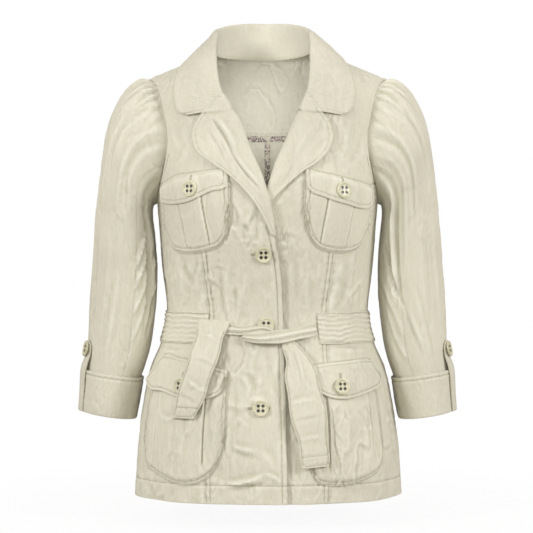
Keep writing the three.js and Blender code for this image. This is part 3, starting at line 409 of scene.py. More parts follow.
# Forms of the body
def smooth(value, low, high):
    """0 up to a low value, 1 from a high one on, and a soft step between them."""
    share = np.clip((np.asarray(value, float) - low) / (high - low), 0, 1)
    return share * share * (3 - 2 * share)


def curve_of(rows, start, goal):
    """A smooth curve through a table, read from one column to another."""
    xs, ys = rows[start], rows[goal]
    slope = (np.append(ys[1:], ys[-1]) - np.insert(ys[:-1], 0, ys[0])) / (
        np.append(xs[1:], xs[-1]) - np.insert(xs[:-1], 0, xs[0])
    )

    def value(at):
        place = np.clip(at, xs[0], xs[-1])
        i = np.clip(np.searchsorted(xs, place) - 1, 0, len(xs) - 2)
        span = xs[i + 1] - xs[i]
        t = (place - xs[i]) / span
        lift = t * t * (3 - 2 * t)
        leave = t * (1 - t) ** 2 * slope[i] * span
        arrive = t * t * (1 - t) * slope[i + 1] * span
        return ys[i] * (1 - lift) + ys[i + 1] * lift + leave - arrive

    return value


def through(stations, places):
    """Points of a smooth curve through stations, which lie along the first axis."""
    s = np.asarray(stations, float)
    s = np.concatenate([[2 * s[0] - s[1]], s, [2 * s[-1] - s[-2]]])
    places = np.asarray(places, float)
    i = np.clip(np.floor(places).astype(int), 0, len(s) - 4)
    t = (places - i).reshape(places.shape + (1,) * (s.ndim - 1))
    before, a, b, after = s[i], s[i + 1], s[i + 2], s[i + 3]
    second = 2 * before - 5 * a + 4 * b - after
    third = 3 * a - before - 3 * b + after
    return 0.5 * (2 * a + (b - before) * t + second * t**2 + third * t**3)


half_width = curve_of(BODY, "z", "half_width")
front_depth = curve_of(BODY, "z", "front")
back_depth = curve_of(BODY, "z", "back")
princess = curve_of(PRINCESS, "z", "x")
front_edge = {name: curve_of(rows, "z", "x") for name, rows in EDGE.items()}


def unit(vectors):
    """Vectors brought to length 1."""
    return vectors / np.maximum(np.linalg.norm(vectors, axis=-1, keepdims=True), 1e-9)


def shoulder_z(x):
    """Height of the shoulder seam."""
    return NECK_POINT[1] - (np.abs(x) - NECK_POINT[0]) * SHOULDER_FALL


def skirt_fold(turn, z):
    """Soft upright folds that the gathered waist gives the skirt, as a share of the radius."""
    below = smooth(-z, 400, -HEM)
    round_back = 0.4 + 0.6 * smooth(np.abs(turn), 1.2, 2.2)
    return 0.024 * below * round_back * np.sin(9 * turn + 0.6)


def body_point(side, theta, climb):
    """A point of the body. The climb is in millimetres up to the chest line, and above it
    an angle in which the cloth rounds over to the shoulder seam. Side is -1 in front."""
    theta, climb = np.broadcast_arrays(np.asarray(theta, float), np.asarray(climb, float))
    across = np.sign(theta) * np.abs(np.sin(theta)) ** (2 / BODY_POWER)
    deep = np.maximum(np.cos(theta), 0) ** (2 / BODY_POWER)
    z = CHEST_LINE + np.minimum(climb, 0)
    x = half_width(z) * across
    above = climb > 0
    sine = np.sin(np.maximum(climb, 0))
    for _ in range(5):
        z = np.where(above, CHEST_LINE + sine * (shoulder_z(x) - CHEST_LINE), z)
        x = half_width(z) * across
    rounding = np.where(above, np.cos(np.maximum(climb, 0)), 1)
    turn = theta if side < 0 else np.where(theta < 0, -1, 1) * (math.pi - np.abs(theta))
    swell = 1 + skirt_fold(turn, z)
    depth = (front_depth(z) if side < 0 else back_depth(z)) * deep * rounding
    return np.stack([x * swell, side * (depth * swell + SEAM_GAP / 2), z], -1)


def body_frame(side, theta, climb):
    """The points of the body and its outward directions there."""
    theta, climb = np.broadcast_arrays(np.asarray(theta, float), np.asarray(climb, float))
    step = np.where(climb < 0, 1, 0.01)
    point = body_point(side, theta, climb)
    along = body_point(side, np.minimum(theta + 0.01, QUARTER), climb) - body_point(
        side, np.maximum(theta - 0.01, -QUARTER), climb
    )
    up = body_point(side, theta, np.minimum(climb + step, QUARTER)) - body_point(
        side, theta, climb - step
    )
    normal = unit(np.cross(along, up))
    outward = point.copy()
    outward[..., 2] = 50
    normal = np.where((normal * outward).sum(-1, keepdims=True) < 0, -normal, normal)
    seam = unit(np.stack([np.sign(theta) * SHOULDER_FALL, 0 * theta, 1 + 0 * theta], -1))
    return point, np.where((climb > QUARTER - step)[..., None], seam, normal)


def theta_at(x, z):
    """The turn round the body at a place across it."""
    share = np.minimum(np.abs(x) / half_width(z), 1)
    return np.sign(x) * np.arcsin(share ** (BODY_POWER / 2))


def climb_at(x, z):
    """The climb of a place, as body_point takes it."""
    share = (z - CHEST_LINE) / (shoulder_z(x) - CHEST_LINE)
    angle = np.arcsin(np.clip(share, 0, 1))
    return np.where(z <= CHEST_LINE, z - CHEST_LINE, angle)


def frame_at(side, x, z):
    """Points of the body and outward directions at places seen from the front."""
    x, z = np.broadcast_arrays(np.asarray(x, float), np.asarray(z, float))
    return body_frame(side, theta_at(x, z), climb_at(x, z))


def halved(low, high, is_inside):
    """The place between two limits where a test stops holding, found by halving."""
    for _ in range(26):
        middle = (low + high) / 2
        inside = is_inside(middle)
        low, high = np.where(inside, middle, low), np.where(inside, high, middle)
    return low


def arm_theta(side, climb):
    """The turn at which a body row meets the armhole."""

    def is_inside(theta):
        point = body_point(side, theta, climb)
        rise = (point[..., 2] - ARMHOLE_Z) / ARMHOLE_HEIGHT
        reach = ARMHOLE_DEPTH * np.sqrt(np.maximum(1 - rise * rise, 0))
        return np.abs(point[..., 1]) - SEAM_GAP / 2 >= reach

    return halved(np.zeros(np.shape(climb)), np.full(np.shape(climb), QUARTER), is_inside)


def sink_of(hand, x):
    """How far the cloth lies under the body's surface: only the left front, at its edge."""
    if hand == "right":
        return 0 * np.asarray(x, float)
    return -UNDER_LAP * (1 - smooth(x, 20, 56))


def edge_theta(hand, climb):
    """The turn of a front's edge at each row."""
    edge = front_edge[hand]
    z = CHEST_LINE + np.minimum(climb, 0)
    for _ in range(8):
        risen = CHEST_LINE + np.sin(np.maximum(climb, 0)) * (shoulder_z(edge(z)) - CHEST_LINE)
        z = np.where(climb > 0, risen, z)
    return theta_at(edge(z), z)


def neck_z(x):
    """Height of the back neck seam."""
    return NECK_POINT[1] + 0.4 + 4.4 * (np.maximum(x, 0) / NECK_EDGE["left"]) ** 2


def seams_of(node):
    """The rows of SEAMS for a piece."""
    for kind, rows in SEAMS.items():
        if node == kind or node.removeprefix(f"{kind}_") in ("right", "left", "back"):
            return rows
    return ()


def between(value, low, high, soft=9):
    """1 between two limits, falling softly to 0 outside them."""
    return smooth(value, low - soft, low) * (1 - smooth(value, high, high + soft))


def covered(hand, x, z):
    """1 where a pocket, a lapel or the casing lies on a front, and 0 elsewhere."""
    total = 0 * x
    for kind in LEVEL:
        rows = OUTLINE[f"{kind}_{hand}"]
        inside = between(x, rows["x"][0], rows["x"][-1])
        bottom, top = curve_of(rows, "x", "bottom")(x), curve_of(rows, "x", "top")(x)
        total = total + inside * between(z, bottom, top)
    rows, sign = LAPEL[hand], HANDS[hand]
    upward = {name: column[:11] for name, column in rows.items()}
    roll, out = curve_of(upward, "roll_z", "roll_x")(z), curve_of(upward, "out_z", "out_x")(z)
    total = total + between(sign * x, sign * roll - 9, sign * out) * between(z, -250, -84)
    reach = sign * CASING[hand]
    total = total + between(sign * x, reach, 400) * between(z, CASING["bottom"], CASING["top"])
    return np.minimum(total, 1)


# Crushed cloth
def scatter(cells, seed):
    """A fixed number from -1 to 1 for each whole-numbered cell."""
    mask = 0xFFFFFFFF
    mixed = cells[..., 0] * 73856093 ^ cells[..., 1] * 19349663 ^ cells[..., 2] * 83492791
    mixed = (mixed ^ seed * 2654435761) & mask
    for shift, factor in ((15, 0x2C1B3C6D), (12, 0x297A2D39)):
        mixed = ((mixed ^ mixed >> shift) * factor) & mask
    return (mixed ^ mixed >> 15) / 0x7FFFFFFF - 1


def noise(points, size, seed):
    """Smooth noise from -1 to 1, with cells of the given size along x, y and z."""
    cells = points / np.asarray(size, float)
    base = np.floor(cells).astype(np.int64)
    t = cells - base
    t = t * t * (3 - 2 * t)
    total = 0
    for corner in np.ndindex(2, 2, 2):
        weight = np.prod(np.where(np.array(corner) == 1, t, 1 - t), axis=-1)
        total = total + weight * scatter(base + corner, seed)
    return total


# Share, cell size and width of the three sizes of crease in crushed linen
CRINKLES = ((1.4, (22, 22, 58), 0.13), (0.9, (12, 12, 30), 0.2), (0.5, (8, 8, 16), 0.3))


def crinkle(points, size, width, seed):
    """Fine crease lines that wander, each a step up beside a step down."""
    size = np.asarray(size, float)
    wander = noise(points, size, seed) + 0.45 * noise(points, size * 0.43, seed + 1)
    line = (wander / width) * np.exp(0.5 - (wander / width) ** 2)
    return line * np.clip(0.25 + 1.3 * noise(points, size * 1.9, seed + 2), 0, 1)


def crumple(points, seed=0, gain=1.0):
    """Height of crushed linen over its smooth form, in millimetres."""
    broad = noise(points, (38, 38, 64), 11 + seed) + 0.6 * noise(points, (17, 17, 24), 17 + seed)
    fine = sum(
        share * crinkle(points, size, width, 23 + 8 * k + seed)
        for k, (share, size, width) in enumerate(CRINKLES)
    )
    return gain * bpy.context.scene.jacket_sizes.crumple * (0.6 * broad + 0.95 * fine)


def folds(rows, a, b):
    """Height of the listed creases at places a and b."""
    total = np.zeros(np.shape(a))
    for a0, b0, a1, b1, bend, width, rise in zip(*rows.values()):
        run = math.hypot(a1 - a0, b1 - b0)
        ca, cb = (a1 - a0) / run, (b1 - b0) / run
        along = ((a - a0) * ca + (b - b0) * cb) / run
        swing = 4 * np.clip(along, 0, 1) * (1 - np.clip(along, 0, 1))
        off = (b - b0) * ca - (a - a0) * cb - bend * swing
        window = np.where((along > 0) & (along < 1), np.sin(np.pi * np.clip(along, 0, 1)) ** 0.7, 0)
        wide = width * (0.42 + 0.42 * window)
        past = (off - 1.8 * wide) / (1.2 * wide)
        ridge = np.exp(-np.abs(off / wide) ** 1.3) - 0.45 * np.exp(-(past**2))
        total = total + rise * window * ridge
    return total * bpy.context.scene.jacket_sizes.creases


def body_relief(side, point):
    """Crumples and creases of the body cloth. They die out towards the side seams."""
    x, z = point[..., 0], point[..., 2]
    at_side = smooth(half_width(np.minimum(z, -24)) - np.abs(x), 0, 14)
    rows = FRONT_FOLDS if side < 0 else BACK_FOLDS
    return crumple(point) + folds(rows, x, z) * at_side


# Building sheets of cloth. The shells keep each sheet's outer grid, for what is laid on it.
shells = {}


def shares(width, step, marks=()):
    """Places from 0 to 1 across a width, closer at both ends and at marked places."""
    count = max(2, round(width / step))
    places = list(np.linspace(0, 1, count + 1))
    near = [(0, 1), (1, -1)] + [(mark, way) for mark in marks for way in (1, -1)]
    for place, way in near:
        places += [place + way * off / width for off in (0, 0.7, 1.7)]
    places = np.sort(np.clip(places, 0, 1))
    kept = [places[0]]
    for place in places[1:]:
        if place - kept[-1] > 0.45 / width:
            kept.append(place)
    kept[-1] = 1.0
    return np.array(kept)


def spans(points, axis, closed=False):
    """Running length along a grid's axis, from 0."""
    if closed:
        points = np.concatenate([points, points[:, :1]], axis=1)
    run = np.linalg.norm(np.diff(points, axis=axis), axis=-1)
    return np.concatenate([0 * np.take(run, [0], axis=axis), np.cumsum(run, axis=axis)], axis=axis)


def run_of(line):
    """Running length along a line of points, from 0."""
    return np.concatenate([[0], np.cumsum(np.linalg.norm(np.diff(line, axis=0), axis=1))])


def read_at(place, run, vectors):
    """Vectors at places along a line, read from those at its running lengths."""
    return np.stack([np.interp(place, run, vectors[:, k]) for k in range(3)], -1)


def grid_normals(points, closed=False):
    """Directions at right angles to a grid of points."""
    if closed:
        wide = np.concatenate([points[:, -1:], points, points[:, :1]], axis=1)
        along = wide[:, 2:] - wide[:, :-2]
    else:
        along = np.gradient(points, axis=1)
    return unit(np.cross(along, np.gradient(points, axis=0)))


def edge_distance(points, closed):
    """Distance from each point of a grid to the grid's nearest edge."""
    up = spans(points, 0)
    near = np.minimum(up, up[-1:] - up)
    if closed:
        return near
    across = spans(points, 1)
    return np.minimum(near, np.minimum(across, across[:, -1:] - across))


def blurred(grid):
    """Each value replaced by the mean of its four neighbours."""
    wide = np.pad(grid, 1, mode="edge")
    return (wide[:-2, 1:-1] + wide[2:, 1:-1] + wide[1:-1, :-2] + wide[1:-1, 2:]) / 4


def shade_and_highlight(height, near, edge_shade):
    """From -1 in a trough or near an edge to 1 on a ridge, for the tone of the cloth: painted shade in the
    troughs and along the edges, painted highlight on the ridges.
    """
    level = height
    for _ in range(4):
        level = blurred(level)
    return np.clip((height - level) / 1.1 - edge_shade * np.exp(-((near / 1.1) ** 2)), -1, 1)


def stitch_groove(node, points, closed):
    """The small valley, pulled deeper at every few stitches, that each stitched line makes."""
    up, across = spans(points, 0), spans(points, 1)
    far = {"low": up, "high": up[-1:] - up, "start": across, "end": across[:, -1:] - across}
    total = np.zeros(points.shape[:2])
    for side, offset, *trim in seams_of(node):
        run = up if side in ("start", "end") else across
        past = far[side] - offset
        pull = 0.65 + 0.35 * np.sin(2 * math.pi * run / 8.5 + 3 * noise(points, (22, 22, 22), 77))
        leave = smooth(run, trim[0] - 2, trim[0] + 2)
        arrive = smooth(run.max() - run, trim[1] - 2, trim[1] + 2)
        bulge = 0.3 * np.exp(-(((np.abs(past) - 3) / 1.6) ** 2))
        valley = -1.3 * pull * np.exp(-((past / 1.3) ** 2)) + bulge
        total = total + valley * (leave * arrive if sum(trim) > 0 and not closed else 1)
    return total


# How far over and under a sheet the pieces that it lies on are looked for
REACH = 25


def settled(points, normals, height, nodes, gap):
    """Heights lifted where the sheet would sink into the pieces that it lies on."""
    height = np.broadcast_to(height, points.shape[:2])
    missing = np.zeros(height.shape)
    starts = points + normals * REACH
    for place in np.ndindex(*height.shape):
        start, down = Vector(starts[place]), Vector(-normals[place])
        for node in nodes:
            hit = shells[node]["tree"].ray_cast(start, down, 2 * REACH)
            if hit[0] is not None:
                missing[place] = max(missing[place], REACH - hit[3] + gap - height[place])
    for _ in range(4):
        missing = np.maximum(missing, blurred(missing))
    return height + missing


def add_piece(name, mesh):
    """A new object for a mesh, in the scene."""
    piece = bpy.data.objects.new(name, mesh)
    bpy.context.collection.objects.link(piece)
    return piece


def dress(piece, finish, node=None):
    """Gives a piece its material and body, and hides the CAD node that it replaces."""
    piece.data.materials.clear()
    piece.data.materials.append(material(finish))
    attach(piece, "root")
    if node:
        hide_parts(node)


def mesh_of(name, points, closed):
    """A mesh object on a grid of points in millimetres, with its cloth lengths as UVs."""
    rows, columns = points.shape[:2]
    across, up = spans(points, 1, closed), spans(points, 0)
    if closed:
        up = np.concatenate([up, up[:, :1]], axis=1)
    across = across - across[:, -1:] / 2
    last = columns if closed else columns - 1
    j, i = np.meshgrid(np.arange(rows - 1), np.arange(last), indexing="ij")
    corners = [(j, i), (j, i + 1), (j + 1, i + 1), (j + 1, i)]
    faces = np.stack([row * columns + column % columns for row, column in corners], -1).reshape(-1, 4)
    uvs = np.stack([np.stack([across[c], up[c]], -1) for c in corners], -2).reshape(-1, 2) * MM
    mesh = bpy.data.meshes.new(name)
    mesh.from_pydata((points.reshape(-1, 3) * MM).tolist(), [], faces.tolist())
    mesh.uv_layers.new(name="cloth").data.foreach_set("uv", uvs.astype(np.float32).ravel())
    mesh.polygons.foreach_set("use_smooth", np.ones(len(faces), bool))
    return add_piece(name, mesh), faces


def only(piece):
    """Selects one piece alone and makes it active."""
    bpy.ops.object.select_all(action="DESELECT")
    piece.select_set(True)
    bpy.context.view_layer.objects.active = piece


def apply_modifier(piece, kind, **settings):
    """Adds one modifier to a piece and applies it."""
    only(piece)
    modifier = piece.modifiers.new(kind.title(), kind)
    for key, value in settings.items():
        setattr(modifier, key, value)
    bpy.ops.object.modifier_apply(modifier=modifier.name)


# Least side of a flat sheet that the frame takes, in metres
NARROWEST = 0.0102


def add_cloth(node, points, normals=None, relief=0, thick=None, closed=False,
              over=(), curl=0.5, offset=-1, edge_shade=0.0, finish="linen"):
    """Makes the sheet that stands for a node, from a grid of its outer points. It is raised by the
    relief, curled in at its edges, grooved by its stitches, lifted off what it lies over and then
    given its thickness. It carries a tone of painted shade in its troughs and along its edges and
    of painted highlight on its ridges; the setting after the offset is the depth of that edge shade."""
    if normals is None:
        normals = grid_normals(points, closed)
    thick = bpy.context.scene.jacket_sizes.cloth / MM if thick is None else thick
    near = edge_distance(points, closed)
    height = relief + -curl * np.exp(-((near / 0.9) ** 2)) + stitch_groove(node, points, closed)
    if over:
        height = settled(points, normals, height, over, 0.25 + (thick if offset < 0 else 0))
    height = np.broadcast_to(height, points.shape[:2])
    # Painted shade for the troughs and edges and painted highlight for the ridges, kept on the sheet for its
    # material
    hollow = shade_and_highlight(height, near, edge_shade)
    points = points + normals * height[..., None]
    j, i = points.shape[0] // 2, points.shape[1] // 2
    facing = np.cross(points[j, i] - points[j, i - 1], points[j, i] - points[j - 1, i]) @ normals[j, i]
    if facing < 0:
        points, normals, hollow = points[:, ::-1], normals[:, ::-1], hollow[:, ::-1]
    piece, faces = mesh_of(f"cloth_{node}", points, closed)
    tone = piece.data.attributes.new("hollow", "FLOAT", "POINT")
    tone.data.foreach_set("value", hollow.astype(np.float32).ravel())
    wide = max(spans(points, 1, closed)[:, -1].max() * MM, NARROWEST)
    long = max(spans(points, 0)[-1].max() * MM, NARROWEST)
    area = sum(face.area for face in piece.data.polygons)
    shells[node] = {
        "points": points, "normals": grid_normals(points, closed), "closed": closed,
        "flipped": facing < 0,
        "tree": BVHTree.FromPolygons(points.reshape(-1, 3).tolist(), faces.tolist()),
    }
    apply_modifier(piece, "SOLIDIFY", thickness=thick * MM, offset=offset)
    bpy.ops.object.shade_smooth_by_angle(angle=math.radians(55))
    dress(piece, finish, node)
    area = min(area, wide * long)


# Stitching
def row_points(lines, ticks, places):
    """Reads each line of points at its own place along its own ticks."""
    rows = zip(lines, ticks, places)
    return np.array([read_at(place, tick, line) for line, tick, place in rows])


def inset(node, side, offset, trim=(0, 0)):
    """A line on a piece at a distance from its low, high, start or end edge, with its
    normals. The trim leaves out that many millimetres at each end."""
    shell = shells[node]
    points, normals = shell["points"], shell["normals"]
    if shell["flipped"] and not shell["closed"]:
        points, normals = points[:, ::-1], normals[:, ::-1]
    if side in ("low", "high"):
        points, normals = points.swapaxes(0, 1), normals.swapaxes(0, 1)
    if side in ("high", "end"):
        points, normals = points[:, ::-1], normals[:, ::-1]
    if shell["closed"]:
        points, normals = (np.concatenate([part, part[:1]]) for part in (points, normals))
    ticks = spans(points, 1)
    edge = unit(np.gradient(points[:, 0], axis=0))
    inward = unit(points[:, 1] - points[:, 0])
    slant = np.linalg.norm(np.cross(edge, inward), axis=-1)
    places = np.minimum(offset / np.maximum(slant, 0.3), ticks[:, -1] * 0.5)
    line, facing = row_points(points, ticks, places), row_points(normals, ticks, places)
    run = run_of(line)
    kept = (run >= trim[0]) & (run <= run[-1] - trim[1])
    return line[kept], unit(facing[kept])


def dropped(node, points):
    """Points dropped onto a piece, with its outward directions there."""
    tree = shells[node]["tree"]
    found = [tree.find_nearest(Vector(point)) for point in np.asarray(points, float).tolist()]
    return np.array([hit[0][:] for hit in found]), np.array([hit[1][:] for hit in found])


# Rings of a stitch: place along it, height over the cloth and size, as shares
STITCH_RINGS = ((-0.5, -0.3, 0.6), (-0.28, 0.2, 1), (0.28, 0.2, 1), (0.5, -0.3, 0.6))
STITCH_SIDES = 4


def along_line(line, facing, pitch):
    """Middles, directions and normals of stitches laid along a line at a pitch."""
    run = run_of(line)
    count = int(run[-1] / pitch)
    if count < 1:
        return np.zeros((0, 3, 3))
    at = (np.arange(count) + 0.5) * run[-1] / count
    step = pitch * 0.4
    ahead = read_at(np.minimum(at + step, run[-1]), run, line)
    direction = unit(ahead - read_at(np.maximum(at - step, 0), run, line))
    return np.stack([read_at(at, run, line), direction, unit(read_at(at, run, facing))], 1)


def stitch_mesh(name, frames, length, width):
    """One mesh of all the stitches, each a small bent capsule that dips in at its ends."""
    middle, direction, normal = frames[:, 0], frames[:, 1], frames[:, 2]
    side = unit(np.cross(normal, direction))
    vertices = []
    for along, height, size in STITCH_RINGS:
        for k in range(STITCH_SIDES):
            turn = 2 * math.pi * (k + 0.5) / STITCH_SIDES
            out = math.cos(turn) * size * width / 2
            up = width * (height + 0.5 * math.sin(turn) * size)
            vertices.append(middle + direction * along * length + side * out + normal * up)
    count = len(STITCH_RINGS) * STITCH_SIDES
    vertices = np.stack(vertices, 1).reshape(-1, 3) * MM
    faces = []
    for ring in range(len(STITCH_RINGS) - 1):
        for k in range(STITCH_SIDES):
            a, b = ring * STITCH_SIDES + k, ring * STITCH_SIDES + (k + 1) % STITCH_SIDES
            faces.append((a, a + STITCH_SIDES, b + STITCH_SIDES, b))
    faces += [tuple(range(STITCH_SIDES)), tuple(range(count - 1, count - 1 - STITCH_SIDES, -1))]
    faces = (np.array(faces)[None] + count * np.arange(len(frames))[:, None, None]).reshape(-1, 4)
    mesh = bpy.data.meshes.new(name)
    mesh.from_pydata(vertices.tolist(), [], faces.tolist())
    mesh.polygons.foreach_set("use_smooth", np.ones(len(faces), bool))
    piece = add_piece(name, mesh)
    only(piece)
    bpy.ops.object.mode_set(mode="EDIT")
    bpy.ops.mesh.select_all(action="SELECT")
    bpy.ops.mesh.normals_make_consistent(inside=False)
    bpy.ops.object.mode_set(mode="OBJECT")
    dress(piece, "thread")


def sew(name, lines):
    """Sews running stitches along lines, each a pair of points and normals."""
    sizes = bpy.context.scene.jacket_sizes
    pitch = sizes.stitch_pitch / MM
    frames = [along_line(line, facing, pitch) for line, facing in lines if len(line) > 1]
    stitch_mesh(name, np.concatenate(frames), sizes.stitch_length / MM, sizes.thread / MM)


def buttonhole(node, centre, direction, length):
    """Satin stitches round a slit, as frames for stitch_mesh."""
    width = 3.2
    point, normal = dropped(node, [centre])
    along = np.asarray(direction, float)
    along = unit(along - (along @ normal[0]) * normal[0])
    side = np.cross(normal[0], along)
    frames = []
    for place in np.arange(-length / 2, length / 2 + 0.1, 0.62):
        for way in (-1, 1):
            middle, facing = dropped(node, [point[0] + along * place + side * way * width * 0.3])
            frames.append([middle[0], side, facing[0]])
    for way in (-1, 1):
        for across in np.arange(-width / 2, width / 2 + 0.1, 0.6):
            end = point[0] + along * way * (length / 2 + 0.6)
            middle, facing = dropped(node, [end + side * across])
            frames.append([middle[0], along, facing[0]])
    return np.array(frames)


# Materials
class Web:
    """Adds nodes to a tree and joins them."""

    def __init__(self, tree):
        self.tree = tree

    def add(self, kind, inputs=(), **settings):
        node = self.tree.nodes.new(kind)
        for key, value in settings.items():
            setattr(node, key, value)
        for key, value in dict(inputs).items():
            if isinstance(value, bpy.types.NodeSocket):
                self.tree.links.new(value, node.inputs[key])
            else:
                node.inputs[key].default_value = value
        return node

    def math(self, operation, a, b=0.0, clamp=False):
        node = self.add("ShaderNodeMath", {0: a, 1: b}, operation=operation, use_clamp=clamp)
        return node.outputs[0]

    def mix(self, factor, a, b):
        node = self.add("ShaderNodeMix", data_type="RGBA")
        for socket, value in ((node.inputs[0], factor), (node.inputs[6], a), (node.inputs[7], b)):
            if isinstance(value, bpy.types.NodeSocket):
                self.tree.links.new(value, socket)
            else:
                socket.default_value = value
        return node.outputs[2]

    def noise(self, vector, scale, detail=2.0, rough=0.5):
        inputs = {"Vector": vector, "Scale": scale, "Detail": detail, "Roughness": rough}
        return self.add("ShaderNodeTexNoise", inputs).outputs["Fac"]

    def stretched(self, vector, scale):
        inputs = {"Vector": vector, "Scale": scale}
        return self.add("ShaderNodeMapping", inputs, vector_type="POINT").outputs[0]


def group_of(name, inputs, outputs):
    """A new node group with its sockets: name, type and default."""
    group = bpy.data.node_groups.new(name, "ShaderNodeTree")
    for socket, kind, default in inputs:
        made = group.interface.new_socket(socket, in_out="INPUT", socket_type=kind)
        if default is not None:
            made.default_value = default
    for socket, kind in outputs:
        group.interface.new_socket(socket, in_out="OUTPUT", socket_type=kind)
    web = Web(group)
    return web, web.add("NodeGroupInput"), web.add("NodeGroupOutput")


def weave_group():
    """Plain weave with thick and thin threads: a height and a tint that both vary."""
    if "Linen weave" in bpy.data.node_groups:
        return bpy.data.node_groups["Linen weave"]
    web, given, out = group_of(
        "Linen weave",
        [
            ("Cloth", "NodeSocketVector", None),
            ("Threads", "NodeSocketFloat", 1500.0),
            ("Slubs", "NodeSocketFloat", 1.0),
        ],
        [("Height", "NodeSocketFloat"), ("Tint", "NodeSocketFloat")],
    )
    cloth, threads, slubs = (given.outputs[key] for key in ("Cloth", "Threads", "Slubs"))
    parts = web.add("ShaderNodeSeparateXYZ", {0: cloth})
    waves = [
        web.math("SINE", web.math("MULTIPLY", web.math("MULTIPLY", parts.outputs[k], threads), math.pi))
        for k in (0, 1)
    ]
    plain = web.math("MULTIPLY", *waves)
    weft = web.noise(web.stretched(cloth, (60, 1500, 1)), 1.0, 2.0, 0.6)
    warp = web.noise(web.stretched(cloth, (1500, 60, 1)), 1.0, 2.0, 0.6)
    slub = web.math("SUBTRACT", web.math("ADD", weft, warp), 1.0)
    slub = web.math("MULTIPLY", slub, slubs)
    height = web.math("ADD", web.math("MULTIPLY", plain, 0.25), slub)
    web.tree.links.new(height, out.inputs["Height"])
    web.tree.links.new(slub, out.inputs["Tint"])
    return web.tree


def new_material(name):
    made = bpy.data.materials.new(name)
    made.use_nodes = True
    web = Web(made.node_tree)
    return made, web, made.node_tree.nodes["Principled BSDF"]


def colour(name):
    return tuple(getattr(bpy.context.scene.jacket_colours, name)) + (1.0,)


def shade(value, factor):
    return tuple(channel * factor for channel in value[:3]) + (1.0,)


# Tones of the painted shade in the deepest hollow and of the painted highlight on the highest ridge of
# crushed cloth
PAINTED_SHADE_TONE, PAINTED_HIGHLIGHT_TONE = (0.82, 0.8, 0.74, 1.0), (1.06, 1.06, 1.07, 1.0)


def cloth_material(name, base, threads, slubs, crush):
    """Woven cloth: base is a colour or the function that draws it from the UVs."""
    made, web, shader = new_material(name)
    cloth = web.add("ShaderNodeUVMap", uv_map="cloth").outputs[0]
    place = web.add("ShaderNodeTexCoord").outputs["Object"]
    weave = web.add("ShaderNodeGroup", node_tree=weave_group())
    web.tree.links.new(cloth, weave.inputs["Cloth"])
    weave.inputs["Threads"].default_value = threads
    weave.inputs["Slubs"].default_value = slubs
    drawn = base(web, cloth) if callable(base) else base
    broad = web.noise(place, 9.0, 3.0, 0.55)
    tone = web.math("ADD", web.math("MULTIPLY", weave.outputs["Tint"], 0.42), broad, clamp=True)
    multiply = web.add("ShaderNodeMix", data_type="RGBA", blend_type="MULTIPLY")
    multiply.inputs[0].default_value = 1.0
    limits = {"Value": tone, "From Min": 0.2, "From Max": 0.8, "To Min": 0.88, "To Max": 1.06}
    ramp = web.add("ShaderNodeMapRange", limits)
    if isinstance(drawn, bpy.types.NodeSocket):
        web.tree.links.new(drawn, multiply.inputs[6])
    else:
        multiply.inputs[6].default_value = drawn
    web.tree.links.new(ramp.outputs[0], multiply.inputs[7])
    # Painted shade in the troughs and along the edges and painted highlight on the ridges, multiplied into
    # the cloth's colour
    hollow = web.add("ShaderNodeAttribute", attribute_name="hollow").outputs["Fac"]
    ends = {"Value": hollow, "From Min": -1.0, "From Max": 1.0, "To Min": 0.0, "To Max": 1.0}
    raised = web.add("ShaderNodeMapRange", ends, interpolation_type="LINEAR").outputs[0]
    painted_light_tone = web.add("ShaderNodeMix", data_type="RGBA", blend_type="MULTIPLY")
    painted_light_tone.inputs[0].default_value = 1.0
    web.tree.links.new(multiply.outputs[2], painted_light_tone.inputs[6])
    web.tree.links.new(web.mix(raised, PAINTED_SHADE_TONE, PAINTED_HIGHLIGHT_TONE), painted_light_tone.inputs[7])
    web.tree.links.new(painted_light_tone.outputs[2], shader.inputs["Base Color"])
    crushed = web.noise(web.stretched(cloth, (330.0, 75.0, 1.0)), 1.0, 3.0, 0.6)
    wavering = web.noise(web.stretched(place, (75.0, 75.0, 26.0)), 1.0, 3.0, 0.55)
    creased = web.math("ABSOLUTE", web.math("SUBTRACT", wavering, 0.5))
    height = web.math("ADD", web.math("MULTIPLY", crushed, 0.5), web.math("MULTIPLY", creased, 1.2))
    bump = web.add("ShaderNodeBump", {"Height": height, "Strength": crush, "Distance": 0.0036})
    fine = web.add(
        "ShaderNodeBump",
        {"Height": weave.outputs["Height"], "Strength": 0.5, "Distance": 0.0002, "Normal": bump.outputs[0]},
    )
    web.tree.links.new(fine.outputs[0], shader.inputs["Normal"])
    shader.inputs["Roughness"].default_value = 0.88
    shader.inputs["Specular IOR Level"].default_value = 0.25
    shader.inputs["Sheen Weight"].default_value = 0.25
    shader.inputs["Sheen Roughness"].default_value = 0.5
    return made


def speckled(web, cloth):
    """A small generic speckle in three tones."""
    spots = web.add("ShaderNodeTexVoronoi", {"Vector": cloth, "Scale": 420.0, "Randomness": 1.0})
    near = web.math("LESS_THAN", spots.outputs["Distance"], 0.5)
    kind = web.add("ShaderNodeSeparateColor", {0: spots.outputs["Color"]})
    tone = web.mix(web.math("GREATER_THAN", kind.outputs[0], 0.5), colour("print_dark"), colour("print_warm"))
    return web.mix(near, colour("print_ground"), tone)


